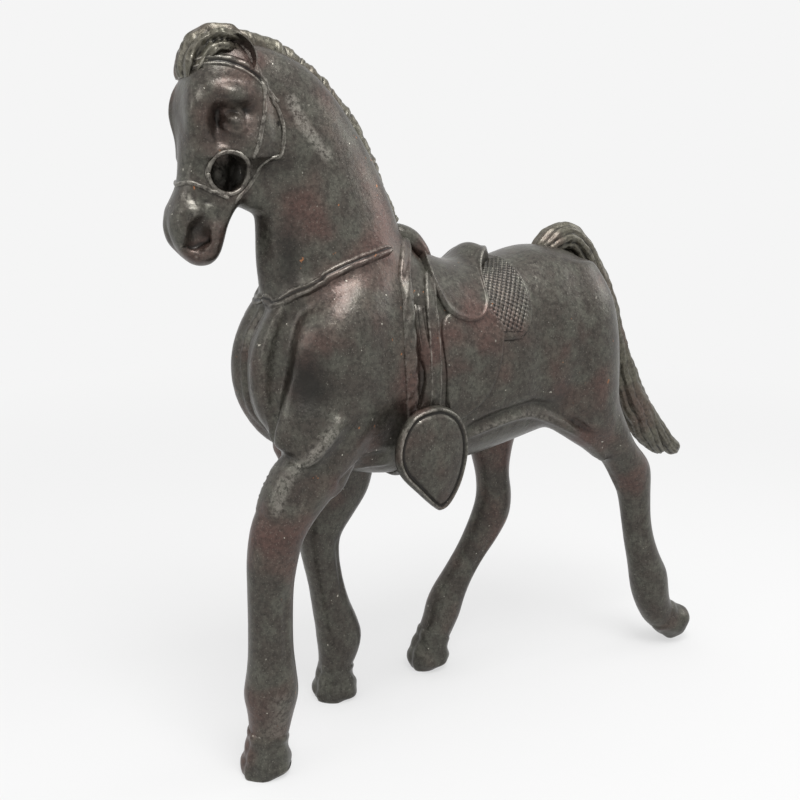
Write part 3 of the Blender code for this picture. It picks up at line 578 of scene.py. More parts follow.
PECTORAL_ROWS = (
    (26.4, 80.5, 2.2, 2, 1), (29.5, 76, 3.2, 2.9, 1), (32.3, 70, 3.4, 3.2, 1), (32.3, 64, 3.4, 3.2, 1),
    (30, 58.6, 3.1, 2.8, 1), (26.8, 54.4, 2.3, 2.2, 1),
)
NEAR_SHOULDER_ROWS = (
    (14, 83, 3.4, 2.4, 0.82), (17, 78, 6.8, 4, 0.94), (20.5, 72, 8.8, 5, 1.02),
    (23, 66, 9.4, 5.4, 1.05), (25.4, 59.5, 8.8, 5.2, 1.05), (28.4, 53.5, 7, 4.8, 1.02),
)
OFF_SHOULDER_ROWS = (
    (14, 83, 3.4, 2.4, 0.82), (17, 78, 6.8, 4, 0.94), (19.6, 72, 8.8, 5, 1.02),
    (20.6, 65, 9.4, 5.4, 1.05), (19.8, 58, 9, 5.2, 1.05), (18.6, 51.5, 8.4, 4.8, 1.02),
)
NEAR_THIGH_ROWS = (
    (-28, 83, 4.4, 2.8, 0.74), (-28, 77, 7.3, 4.6, 0.94), (-28.2, 70, 8.6, 5.5, 1),
    (-28.7, 62.5, 8.8, 5.7, 1.02), (-30.4, 55.5, 7.6, 5.3, 1.04), (-33.4, 50.8, 5.4, 4.7, 1.03),
)
OFF_THIGH_ROWS = (
    (-28, 83, 4.4, 2.8, 0.74), (-28.2, 77, 7.6, 4.6, 0.94), (-27.6, 70, 9.4, 5.5, 1),
    (-26, 62.5, 9.6, 5.7, 1.02), (-23.4, 55.5, 8.2, 5.3, 1.05), (-21, 49.5, 6.2, 4.7, 1.02),
)
NEAR_FLANK_ROWS = (
    (-12, 57.4, 1.2, 1.6, 1), (-17, 56.6, 1.8, 2.4, 1), (-22, 54.6, 2.3, 2.8, 0.98),
    (-27, 52, 2.6, 3, 0.96), (-31.5, 49.1, 2.5, 3, 0.94), (-35.5, 45.6, 2.1, 2.6, 0.92),
)
OFF_FLANK_ROWS = (
    (-7, 57, 1.2, 1.6, 1), (-10.5, 56.4, 1.8, 2.4, 1), (-13.5, 54.9, 2.2, 2.7, 0.98),
    (-16, 52.6, 2.3, 2.8, 0.96), (-17.6, 49.8, 2, 2.4, 0.95),
)
MUSCLES = (
    limb("near_shoulder", NEAR_SHOULDER_ROWS, 8.0),
    limb("off_shoulder", OFF_SHOULDER_ROWS, -8.0),
    limb("near_thigh", NEAR_THIGH_ROWS, 8.0),
    limb("off_thigh", OFF_THIGH_ROWS, -8.0),
    limb("near_pectoral", PECTORAL_ROWS, 3.9),
    limb("off_pectoral", PECTORAL_ROWS, -3.9),
    limb("near_flank_fold", NEAR_FLANK_ROWS, 9.6),
    limb("off_flank_fold", OFF_FLANK_ROWS, -9.6),
)
JAW_ROWS = (
    (35.6, 109.6, 2.4, 1.2, 1), (35, 107.4, 4.2, 2.1, 1), (34.8, 104.4, 5, 2.5, 1),
    (35.2, 101.4, 4.5, 2.3, 1), (36.2, 98.8, 2.6, 1.4, 1),
)
JAWS = (limb("near_jaw", JAW_ROWS, 3.4), limb("off_jaw", JAW_ROWS, -3.4))

# The rein hole's axis, forward and up, and the hollow behind the cheeks
REIN_HOLE = (38.2, 98.8)
HEAD_HOLLOW_ROWS = (
    (36, 106.5, 1, 0.9, 0), (36.4, 104.5, 2.6, 2, 0), (37, 102, 3.6, 2.5, 0), (38.1, 99, 3.7, 2.4, 0),
    (39.4, 96.2, 2.6, 2, 0), (40.4, 94.4, 1, 0.9, 0),
)
# The bars that cut the hole, left and radius along each. The off side's lie further forward.
NEAR_HOLE = ((0.0, 2.75), (12.0, 2.75))
OFF_HOLE = ((-12.0, 0.95), (1.0, 0.95))
OFF_HOLE_DISH = ((-9, 2.2), (-4.6, 2), (-4, 1.1))
OFF_HOLE_SHIFT = 1.5

# A nostril's place and its half sizes, forward, left and up, and its lean back per rise
NOSTRIL = (43.6, 4.2, 89.1)
NOSTRIL_SIZE = (1.9, 2.5, 3.0)
NOSTRIL_LEAN = 0.18


@dataclass(frozen=True)
class Swell:
    """A soft rise or dent: height times exp(-(distance / radii)^2), on one or both sides."""

    centre: Point
    radii: Point
    height: float
    both: bool = True

    def lift(self, points: Array) -> Array:
        """The rise at each point, in millimetres.

        Args:
            points: (n, 3) horse millimetres.

        Returns:
            (n,) millimetres.
        """
        at = points.copy()
        if self.both:
            at[:, 1] = np.abs(at[:, 1])
        away = (at - np.array(self.centre)) / np.array(self.radii)
        return self.height * np.exp(-(away**2).sum(axis=1))


@dataclass(frozen=True)
class Crease:
    """A ridge or groove along a line drawn in the side view.

    The rise is height times exp(-(d / width)^2), where d is the distance from the line as
    seen from the side, for points that lie beyond least_left on the chosen sides. It fades
    out over the last part of the line. With front set, the line is drawn in the front view,
    left and up, and least_left is the least forward instead.
    """

    line: tuple[tuple[float, float], ...]
    width: float
    height: float
    least_left: float = 2.0
    sides: tuple[Side, ...] = (Side.NEAR, Side.OFF)
    front: bool = False

    def lift(self, points: Array) -> Array:
        """The rise at each point, in millimetres.

        Args:
            points: (n, 3) horse millimetres.

        Returns:
            (n,) millimetres.
        """
        line = through(self.line, 6)
        view = points[:, [0, 2]]
        if self.front:
            view = np.stack([np.abs(points[:, 1]), points[:, 2]], axis=1)
        start, run = line[:-1], np.diff(line, axis=0)
        best = np.full(len(points), np.inf)
        along = np.zeros(len(points))
        for k in range(len(run)):
            offset = view - start[k]
            share = np.clip(offset @ run[k] / (run[k] @ run[k]), 0, 1)
            gap = np.linalg.norm(offset - share[:, None] * run[k], axis=1)
            nearer = gap < best
            best = np.where(nearer, gap, best)
            along = np.where(nearer, (k + share) / len(run), along)
        fade = np.clip(np.minimum(along, 1 - along) / 0.12, 0.0, 1.0) ** 0.5
        sign = np.array([side.value for side in self.sides])
        on_side = np.isin(np.sign(points[:, 1]), sign)
        if self.front:
            on_side &= points[:, 0] > self.least_left
        else:
            on_side &= np.abs(points[:, 1]) > self.least_left
        return np.where(on_side, self.height * fade * np.exp(-((best / self.width) ** 2)), 0.0)


SWELLS = (
    # flat forehead with its corners, brow, eye socket, eyeball, temple and cheek
    Swell((43.6, 4.8, 108), (1.5, 1.8, 3.4), 0.9), Swell((44.2, 4.2, 101), (1.3, 1.5, 4.5), 0.35),
    Swell((44, 0, 107.5), (1.6, 2.4, 5), -0.35), Swell((38.2, 5, 109.8), (2.7, 2.8, 1.7), 1.45),
    Swell((38.4, 5.6, 108), (2.5, 2.4, 0.75), -0.9), Swell((37.6, 5.2, 112), (3, 2.4, 0.8), -0.25),
    Swell((42.2, 4.6, 110.6), (1, 1.8, 1.6), -0.3), Swell((40.2, 5.2, 106.3), (1.7, 2.4, 2.9), -2.2),
    Swell((39, 5.2, 102.9), (2.4, 2.2, 1.6), -0.9), Swell((35.2, 6, 108), (1.6, 2.2, 1.3), -0.9),
    Swell((37.7, 6, 106.4), (2.7, 2.2, 2.4), -1.7), Swell((37.6, 5.6, 106.4), (1.25, 2.4, 1.2), 1.75),
    Swell((35, 6.2, 102.6), (1.9, 2.2, 3), 0.3), Swell((45, 0, 101), (1.6, 1.4, 4.6), 0.2),
    # nostrils, lips and chin
    Swell((43.2, 4, 89.5), (1.3, 2.4, 2.4), -0.9), Swell((45.6, 2.9, 90.6), (0.9, 1.5, 2.4), 0.55),
    Swell((43.6, 4.2, 93.2), (2.2, 1.8, 1.3), 0.6), Swell((44.4, 3.6, 93.4), (1.8, 1.6, 0.9), 0.4),
    Swell((40.7, 4, 89.6), (0.9, 1.6, 2.6), 0.55), Swell((42.2, 3.2, 86.2), (1.6, 1.6, 0.8), 0.3),
    Swell((47, 0, 89.4), (1.4, 0.8, 2.4), -0.35), Swell((42, 4.2, 94.6), (1.6, 2, 0.8), -0.45),
    Swell((40.2, 4.2, 92.4), (1.4, 2, 1.2), -0.5), Swell((40.2, 0, 92.2), (2, 1.4, 1.4), -0.4),
    # throat, neck and withers
    Swell((31.6, 0, 90), (2.4, 1.9, 12), 0.7), Swell((27, 6.6, 103), (3.2, 2.6, 3), 0.25),
    Swell((24, 7.6, 93), (4.5, 3, 7), 0.35), Swell((8, 3.4, 86.8), (5, 3, 2.6), -0.4),
    # shoulder, the hollow ahead of it, elbow and forearm
    Swell((22.5, 13.2, 76), (6.5, 4, 5), 0.6), Swell((29.8, 10, 66.6), (3.4, 4.6, 4.6), -2.2),
    Swell((26.5, 12.5, 63.8), (3, 4, 2.2), -0.7), Swell((18.5, 13.4, 60), (5, 4, 4.5), 0.35),
    Swell((13.4, 12.6, 57), (2.6, 4, 5), -0.8),
    # flank and haunch
    Swell((-16, 13.6, 65), (2.6, 4, 10), -0.7), Swell((-22, 13.4, 59.5), (5, 4, 3), -0.5),
    Swell((-29, 14, 70), (6.5, 4, 9), 0.3), Swell((-24, 8, 84), (5, 4, 3), 0.25),
    Swell((-36, 0, 72), (7, 2.2, 12), -0.9, False),
)
CREASES = (
    # dark line above the fold along the belly and thigh, and the flash that stands under it
    Crease(
        ((0, 55), (-5.5, 56.9), (-12.5, 58.1), (-17.8, 57.4), (-24, 54.2), (-29, 50.6)),
        0.85, -0.8, 7, (Side.NEAR,),
    ),
    Crease(
        ((3, 55.2), (-2, 56.4), (-8, 57.6), (-12.5, 56.8), (-16.5, 54.2), (-19.5, 51)),
        0.85, -0.8, 7, (Side.OFF,),
    ),
    Crease(
        ((-24, 54.2), (-29, 50.8), (-34.3, 46.9), (-38.4, 41.6), (-40.6, 36)),
        0.8, -0.4, 7.5, (Side.NEAR,),
    ),
    Crease(
        ((-1, 54), (-5.8, 55.4), (-11.3, 56.4), (-14.7, 56.2), (-20, 54.4), (-26.4, 51.2)),
        0.45, 0.65, 7, (Side.NEAR,),
    ),
    Crease(
        ((2, 54.2), (-3, 55.2), (-8.5, 56), (-12, 55.2), (-15.5, 53), (-18.3, 50.2)),
        0.42, 0.45, 7, (Side.OFF,),
    ),
    Crease(
        ((-23, 53), (-28, 49.9), (-32.4, 46.6), (-36.6, 41.6), (-39.4, 36.5)),
        0.42, 0.4, 9, (Side.NEAR,),
    ),
    # ragged flash behind the elbow, with the dark line over it
    Crease(
        ((25.2, 47.2), (21.7, 49.2), (18.8, 50.3), (15.9, 50.8), (13, 50.6)),
        0.4, 0.45, 4, (Side.NEAR,),
    ),
    Crease(((24.6, 49.4), (21.2, 51.4), (18, 52.4), (14, 52.6)), 0.7, -0.6, 4, (Side.NEAR,)),
    # front of the chest: midline groove with its flash ridge, and the edges of the breast
    Crease(((0, 78.5), (0, 72), (0, 64), (0, 56.5), (0, 50)), 0.8, -0.8, 20, front=True),
    Crease(((1, 78), (1.1, 72), (1.1, 64), (1, 56.5), (0.7, 51)), 0.36, 0.5, 24, front=True),
    Crease(((6.6, 79), (7.3, 73), (7.5, 66), (7.2, 60), (6.2, 55)), 1, -1.25, 24, front=True),
    Crease(((5.4, 79), (6.1, 73), (6.3, 66), (6, 60), (5.2, 55.5)), 0.42, 0.5, 24, front=True),
    # muscle edge that runs down the forearm, with the hollow behind it
    Crease(
        ((24.6, 61.2), (27.6, 57.5), (30.3, 54.6), (32.7, 52.2), (34.6, 49.2), (36.2, 45.5)),
        1, 1.35, 7,
    ),
    Crease(((20.6, 60.6), (24.2, 56.4), (27.4, 53), (30.2, 50), (32.4, 46.4)), 1.3, -0.7, 7),
    # groove on either side of the windpipe
    Crease(((4.4, 101), (5, 96), (5.7, 90), (6.1, 86), (7.4, 82)), 1.6, -0.95, 25, front=True),
    # knees, hocks and tendons
    Crease(((32.4, 38.6), (35.2, 37.4), (38.2, 38.4)), 0.6, -0.22, 8, (Side.NEAR,)),
    Crease(((34.3, 33), (34.4, 27), (34.5, 20)), 0.5, -0.3, 8, (Side.NEAR,)),
    Crease(((16.6, 33), (15.8, 27), (15.2, 21)), 0.5, -0.3, 4, (Side.OFF,)),
    Crease(((-44, 34), (-44.9, 29), (-46.4, 24)), 0.5, -0.3, 4, (Side.NEAR,)),
    Crease(((-20.4, 28), (-17.4, 23.6), (-14.6, 19.6)), 0.5, -0.3, 4, (Side.OFF,)),
    # mouth
    Crease(((45.6, 87.8), (43.6, 88), (41.6, 89.2)), 0.4, -0.4, 1.2),
    # eyelids
    Crease(((39.4, 106), (38.6, 104.9), (37.2, 104.6), (36, 105.6)), 0.42, 0.45, 3.5),
    Crease(((39.4, 107.4), (38.2, 108.2), (36.9, 108.1), (35.9, 107.2)), 0.42, 0.4, 3.5),
    # parting ridge down the off side of the face
    Crease(
        ((3.2, 112), (3.5, 108), (3.4, 104), (3.2, 100), (3, 97)),
        0.38, 0.35, 38, (Side.OFF,), True,
    ),
    # slot between the front bands
    Crease(((8.8, 78.5), (9, 74), (9, 68), (9.1, 63), (9.3, 59)), 0.9, -1.2, 8),
)


# Lighter lines away from the raised edges: a rubbed scratch on the neck, rubbed places on
# the nose and the near fore pastern, and painted highlights, partly rubbed, along the ridge
# of the near forearm and the flash at the fold of the flank
WEAR_AND_HIGHLIGHT_LINES = (
    Crease(((28.6, 110.6), (27, 106.8), (24.8, 103.8), (22.2, 100.8)), 0.85, 1.3, 4, (Side.NEAR,)),
    Crease(((45.2, 96), (43.8, 93.6), (44.6, 91.4)), 0.8, 0.6, 1.5, (Side.NEAR,)),
    Crease(((36, 16), (36.2, 11), (37, 6)), 2.2, 0.4, 4, (Side.NEAR,)),
    Crease(((26, 60), (28.4, 57), (33.4, 51.4), (36, 46)), 1, 0.75, 7, (Side.NEAR,)),
    Crease(
        ((-1, 54), (-5.8, 55.4), (-11.3, 56.4), (-14.7, 56.2), (-20, 54.4)),
        0.5, 0.6, 7, (Side.NEAR,),
    ),
)

# Hollows darkened all over as painted shade
PAINTED_SHADE_HOLLOWS = (
    Swell((29.4, 10.5, 66), (3.8, 6, 5.5), 0.7), Swell((40, 5.2, 105.4), (1.8, 2.5, 2.6), 0.55),
    Swell((37, 5.6, 103.9), (2.6, 2.5, 1.2), 0.35), Swell((43.6, 4.2, 89.1), (1.6, 2.5, 2.6), 0.5),
    Swell((29.5, 5.5, 86), (2.2, 3, 7), 0.55), Swell((13, 12.5, 54.5), (3.2, 4, 4), 0.35),
    Swell((9.2, 13, 68), (1.2, 4, 9), 0.45), Swell((-20, 12, 58.5), (7, 5, 2.2), 0.25),
)


@dataclass(frozen=True)
class Hide:
    """The cast body with neck, head and legs, as one sculpted skin."""

    voxel: float = 0.56
    relax_rounds: int = 11
    head_relax_rounds: int = 2
    grow: float = 0.12
    head_grow: float = 0.1

    def build(self) -> Object:
        """Joins the forms, remeshes them into one skin and sculpts it.

        Returns:
            The hide as a closed mesh.
        """
        forms = [BARREL, NECK, NEAR_FORELEG, OFF_FORELEG, NEAR_HIND_LEG, OFF_HIND_LEG, *MUSCLES]
        parts = [form.build(self.grow) for form in forms]
        hollow = limb("hollow", HEAD_HOLLOW_ROWS, 1.0)
        for form in (HEAD, THROAT, *JAWS):
            part = form.build(self.head_grow)
            self.cut(part, self.bar(NEAR_HOLE))
            self.cut(part, self.bar(OFF_HOLE_DISH, OFF_HOLE_SHIFT))
            self.cut(part, self.bar(OFF_HOLE, OFF_HOLE_SHIFT))
            if form is HEAD:
                self.cut(part, hollow.build())
                for side in Side:
                    self.cut(part, self.nostril(side))
            parts.append(part)
        hide = joined("cast_horse_body", parts)
        remesh = hide.modifiers.new("skin", "REMESH")
        remesh.mode = "VOXEL"
        remesh.voxel_size = self.voxel * MM
        with_modifiers(hide)
        write_points(hide, relax(read_points(hide), read_edges(hide), self.relax_rounds))
        self.divide_head(hide)
        self.sculpt(hide)
        hide.data.shade_smooth()
        return hide

    def nostril(self, side: Side) -> Object:
        """An egg-shaped cutter for a nostril, leaning back towards its top.

        Args:
            side: the side that it is on.

        Returns:
            The cutter.
        """
        rise = np.linspace(0.06, 0.94, 13)[:, None] * np.pi
        turn = turns(24)
        long, wide, high = NOSTRIL_SIZE
        up = -np.cos(rise) * high + np.zeros_like(turn)
        forward = np.sin(rise) * np.cos(turn) * long - NOSTRIL_LEAN * up
        left = np.sin(rise) * np.sin(turn) * wide
        rings = np.stack([forward, left, up], axis=-1) + np.array(NOSTRIL)
        return tube("nostril", rings * [1, side.value, 1])

    def bar(self, stations: tuple[tuple[float, float], ...], shift: float = 0.0) -> Object:
        """A round bar across the head on the rein hole's axis.

        Args:
            stations: left and radius along it.
            shift: how far ahead of the axis it lies.

        Returns:
            The bar as a closed mesh.
        """
        turn = turns(40)
        left, radius = np.array(stations).T[:, :, None]
        forward = REIN_HOLE[0] + shift + radius * np.cos(turn)
        up = REIN_HOLE[1] + radius * np.sin(turn)
        return tube("rein_hole_bar", np.stack([forward, left + np.zeros_like(forward), up], axis=-1))

    def cut(self, part: Object, cutter: Object) -> None:
        """Takes the cutter's volume out of the part and removes the cutter.

        Args:
            part: the object that is cut.
            cutter: the object that is taken away.
        """
        boolean = part.modifiers.new("cut", "BOOLEAN")
        boolean.operation = "DIFFERENCE"
        boolean.object = cutter
        with_modifiers(part)
        discard(cutter)

    def divide_head(self, hide: Object) -> None:
        """Cuts each edge of the head in two, so that small features can be sculpted.

        Args:
            hide: the body's skin.
        """
        mesh = bmesh.new()
        mesh.from_mesh(hide.data)
        up, forward = HEAD_FROM_UP * MM, (ORIGIN_FORWARD - HEAD_FROM_FORWARD) * MM
        edges = [e for e in mesh.edges if all(v.co.z > up and v.co.y < forward for v in e.verts)]
        bmesh.ops.subdivide_edges(mesh, edges=edges, cuts=1, use_grid_fill=True)
        mesh.to_mesh(hide.data)
        mesh.free()
        write_points(hide, relax(read_points(hide), read_edges(hide), self.head_relax_rounds))

    def sculpt(self, hide: Object) -> None:
        """Moves each vertex along its normal by the sum of all swells and creases.

        Args:
            hide: the body's skin.
        """
        points = read_points(hide)
        at = to_horse(points)
        rise = sum(feature.lift(at) for feature in (*SWELLS, *CREASES))
        rise = relax(rise[:, None], read_edges(hide), 1)[:, 0]
        write_points(hide, points + read_normals(hide) * (rise * MM)[:, None])


# ---------------------------------------------------------------------------
# The hide as the ground that the tack is laid on


# Rays from the side start this far out, and all of the hide lies within the widest. A ray
# that meets nothing gives the hide's nearest point to a place closer in.
RAY_START = 60.0
WIDEST = 40.0
RAY_MISSED = 6.0


@dataclass(frozen=True)
class Ground:
    """The sculpted hide, as a surface to lay other pieces on."""

    hide: Object

    def wrapped(self, points: Array, method: str, offset: float = 0.0) -> Array:
        """The points after a Shrinkwrap modifier has moved them to the hide.

        Args:
            points: (..., 3) horse millimetres.
            method: the modifier's wrap method.
            offset: how far above the hide they end up.

        Returns:
            Points of the same shape. A projected point that meets nothing stays put.
        """
        probe = new_mesh("probe", to_frame(points.reshape(-1, 3)), np.empty((0, 4), dtype=int))
        wrap = probe.modifiers.new("wrap", "SHRINKWRAP")
        wrap.target = self.hide
        wrap.wrap_method = method
        wrap.wrap_mode = "ABOVE_SURFACE"
        wrap.offset = offset * MM
        if method == "PROJECT":
            wrap.use_project_x = True
            wrap.use_negative_direction = True
            wrap.use_positive_direction = True
        with_modifiers(probe)
        found = to_horse(read_points(probe)).reshape(points.shape)
        discard(probe)
        return found

    def nearest(self, points: Array) -> Array:
        """The hide's nearest point to each point."""
        return self.wrapped(points, "NEAREST_SURFACEPOINT")

    def from_side(self, view: Array, side: Side) -> Array:
        """Where level rays from one side meet the hide.

        Args:
            view: (..., 2) forward and up.
            side: the side that they come from.

        Returns:
            (..., 3) points on the hide. A ray that meets nothing gives the nearest point.
        """
        far, inner = RAY_START * side.value, RAY_MISSED * side.value
        start = np.stack([view[..., 0], np.full(view.shape[:-1], far), view[..., 1]], axis=-1)
        hit = self.wrapped(start, "PROJECT")
        inside = np.stack([view[..., 0], np.full(view.shape[:-1], inner), view[..., 1]], axis=-1)
        missed = np.abs(hit[..., 1:2]) > WIDEST
        return np.where(missed, self.nearest(inside), hit)

    def round_barrel(self, flat: Array) -> Array:
        """Places on the barrel given as forward and the turn from its spine.

        Args:
            flat: (..., 2) forward in millimetres and turn in degrees, positive to the left.

        Returns:
            (..., 3) points on the hide.
        """
        turn = np.radians(flat[..., 1])
        guess = [flat[..., 0], 13.6 * np.sin(turn), 66.5 + 19.0 * np.cos(turn)]
        return self.nearest(np.stack(guess, axis=-1))

    def normals(self, points: Array, ease: int = 2, wrap: bool = False) -> Array:
        """The hide's smooth normals at a grid of points on it, averaged over the grid.

        Args:
            points: (rows, columns, 3) points on the hide.
            ease: rounds of averaging.
            wrap: whether the columns close on themselves.

        Returns:
            (rows, columns, 3) unit vectors.
        """
        found = unit(self.wrapped(points, "NEAREST_SURFACEPOINT", 1.0) - points)
        for _ in range(ease):
            padded = np.pad(found, ((1, 1), (0, 0), (0, 0)), mode="edge")
            padded = np.pad(padded, ((0, 0), (1, 1), (0, 0)), mode="wrap" if wrap else "edge")
            around = padded[:-2, 1:-1] + padded[2:, 1:-1] + padded[1:-1, :-2] + padded[1:-1, 2:]
            found = unit(found + around / 4)
        return found


def closed_through(points: Array | Rows, steps: int) -> Array:
    """A closed Catmull-Rom curve through the points, its start not repeated at its end.

    Args:
        points: (n, k) values.
        steps: samples from one point to the next.

    Returns:
        (n * steps, k) values.
    """
    rows = np.asarray(points, dtype=float)
    looped = np.concatenate([rows[-1:], rows, rows[:2]])
    return through(looped, steps)[steps : steps + len(rows) * steps]


def other_side(route: Rows) -> Rows:
    """The route mirrored in the centre plane. Left is each row's second value."""
    return tuple((row[0], -row[1], *row[2:]) for row in route)


def across_both(route: Rows) -> Rows:
    """A route that ends on the centre plane, carried on to its mirrored start."""
    return (*route, *other_side(route[-2::-1]))


class Profile(Enum):
    """How a strap's height runs across it, from -1 at one edge to 1 at the other."""

    ROUND = "round"
    DOUBLE = "double"
    BORDERED = "bordered"

    def height(self, across: Array) -> Array:
        """The height as a share of the strap's own, 0 at both edges.

        ROUND is half an ellipse, DOUBLE a thick roll and a thin one with a groove between,
        and BORDERED a plateau with a raised border.

        Args:
            across: places across the strap, from -1 to 1.

        Returns:
            Shares of the same shape.
        """
        away = np.abs(across)
        lower = np.exp(-(((across - 0.36) / 0.42) ** 4))
        upper = 0.6 * np.exp(-(((across + 0.68) / 0.2) ** 2))
        dome = np.sqrt(np.clip(1 - away**2, 0, 1))
        shapes = {
            Profile.ROUND: dome,
            Profile.DOUBLE: dome * (0.25 + 0.75 * (lower + upper)),
            Profile.BORDERED: (1 - away**8) * (0.6 + 0.4 * np.exp(-(((away - 0.75) / 0.16) ** 2))),
        }
        return shapes[self]


@dataclass(frozen=True)
class Strap:
    """A strap cast in relief, along a route over the hide.

    Its centre is a Catmull-Rom curve through the route, moved to the hide. Across it, the
    height follows the profile, and below it reaches a little way into the hide.
    """

    name: str
    route: Rows
    width: float
    height: float
    profile: Profile = Profile.ROUND
    lift: float = 0.0
    side: Side | None = None
    steps: int = 8
    columns: int = 13
    sink: float = 0.35
    worn: float = 0.25

    def build(self, ground: Ground) -> Object:
        """The strap as a closed mesh.

        Args:
            ground: the hide that it lies on.

        Returns:
            The piece.
        """
        centre = through(self.route, self.steps)
        if self.side is None:
            centre = ground.nearest(centre)
        else:
            centre = ground.from_side(centre[:, [0, 2]], self.side)
        run = unit(np.gradient(centre, axis=0))[:, None]
        up = ground.normals(centre[:, None])
        across = unit(np.cross(run, up))
        share = np.linspace(-1, 1, self.columns)
        along = np.linspace(0, 1, len(centre))
        ends = np.clip(np.minimum(along, 1 - along) * len(centre) / 3, 0.25, 1)[:, None] ** 0.5
        flat = ground.nearest(centre[:, None] + across * (self.width / 2 * share * ends)[..., None])
        up = ground.normals(flat)
        uneven = 1 + self.worn * np.sin(2.3 * flat[..., 0] + 1.9 * flat[..., 2] + 0.8 * flat[..., 1])
        rise = self.lift * (1 - share**8) + self.height * self.profile.height(share) * uneven
        return raised_strip(self.name, flat, up, rise * ends, self.sink)


@dataclass(frozen=True)
class Sheet:
    """A sheet cast in relief inside a closed outline, with a raised rim.

    Points run from the middle (share 0) to the outline (share 1). The distance d from the
    outline sets the height: a rise within the bevel, and a rim of exp(-((d - rim) / rim)^2).
    """

    name: str
    outline: tuple[tuple[float, float], ...]
    middle: tuple[float, float]
    thickness: float
    rim: float = 0.4
    rim_height: float = 0.0
    bevel: float = 0.35
    lift: float = 0.0
    rings: int = 26
    steps: int = 10
    millimetres_per_unit: tuple[float, float] = (1.0, 1.0)

    def build(
        self, place: Callable[[Array], Array], ground: Ground, swells: tuple[Swell, ...] = ()
    ) -> Object:
        """The sheet as a closed mesh.

        Args:
            place: turns (..., 2) outline values into (..., 3) points on the hide.
            ground: the hide.
            swells: further rises.

        Returns:
            The sheet.
        """
        edge = closed_through(self.outline, self.steps)
        middle = np.array(self.middle)
        share = np.linspace(0, 1, self.rings + 1)[1:] ** 0.8
        flat = middle + share[:, None, None] * (edge - middle)
        spoke = np.linalg.norm((edge - middle) * self.millimetres_per_unit, axis=1)
        from_edge = (1 - share)[:, None] * spoke
        on_hide = place(flat)
        up = ground.normals(on_hide, 2, True)
        rise = (self.thickness + self.lift) * np.clip(from_edge / self.bevel, 0, 1) ** 0.5
        rise += self.rim_height * np.exp(-(((from_edge - self.rim) / self.rim) ** 2)) * (from_edge > 0)
        for swell in swells:
            rise += swell.lift(on_hide.reshape(-1, 3)).reshape(rise.shape)
        top = on_hide + up * rise[..., None]
        bottom = (on_hide - up * 0.4)[[-1, self.rings // 2, 0]]
        return tube(self.name, np.concatenate([top, bottom]))


# ---------------------------------------------------------------------------
# Saddle and harness

# Edges on the barrel, forward and turn from the spine in degrees
NEAR_SADDLE_EDGE = (
    (3.6, 14), (4.9, 29), (4.9, 44), (3.9, 56), (2.2, 62.5), (-0.7, 65.8), (-3.4, 64.4), (-5, 57),
    (-5.6, 46), (-6.4, 34), (-7.8, 24), (-10.6, 13),
)
SADDLE_FRONT = (3, 0)
SADDLE_BACK = (-12.2, 0)
BLANKET_EDGE = (
    (2.4, 30), (2.2, 60), (-1, 73), (-5, 76.4), (-9.8, 77.6), (-12.4, 74), (-13.6, 67), (-14.1, 56),
    (-14.2, 42), (-13.8, 28), (-12.8, 13),
)
# Front and back edges of the woven part, forward and turn from the spine
WEAVE_FRONT = ((-9.4, 9), (-7, 26), (-5, 42), (-4.6, 56), (-5.2, 76.6))
WEAVE_BACK = ((-12.4, 10), (-13.6, 26), (-14, 42), (-13.7, 60), (-11.2, 77.4))
FENDER_EDGE = (
    (4.6, 75), (4.6, 66), (4.4, 60), (2.4, 57.4), (-1, 58.6), (-4, 61.4), (-6, 65.2), (-7.2, 69.6),
    (-7.4, 74), (-3, 77.4),
)
LEATHER_ROUTE = (
    (4.2, 8.4, 82.6), (5.6, 10.4, 80.4), (6.4, 11.6, 77.4), (6.7, 12.4, 73), (6.7, 12.8, 68),
    (6.7, 13, 63), (7, 13, 59.6),
)
# Forward and turn from the spine, down the near side and under the belly
BAND_ROUTE = (
    (8.4, 4), (9.2, 16), (9.9, 32), (10.6, 50), (11.2, 66), (11.4, 84), (10.8, 106), (9.2, 138),
    (8, 180),
)
BREAST_STRAP_ROUTE = (
    (33.2, 0, 78.9), (32.4, 4, 79.2), (29.8, 7, 80.4), (27.6, 8.6, 81.4), (24.8, 9.6, 83.1),
    (19.8, 9.8, 85), (15.8, 8.8, 86), (11.4, 7.4, 87),
)
HOOD_EDGE = (
    (9.6, 61.2), (6.6, 61), (3.8, 59.2), (2.2, 56), (1.9, 52), (3, 47.6), (5, 44.2), (6.8, 42.9),
    (8.2, 43.6), (11.2, 46.4), (14.6, 50), (15.8, 53.6), (15, 57.4), (12.8, 60.2),
)


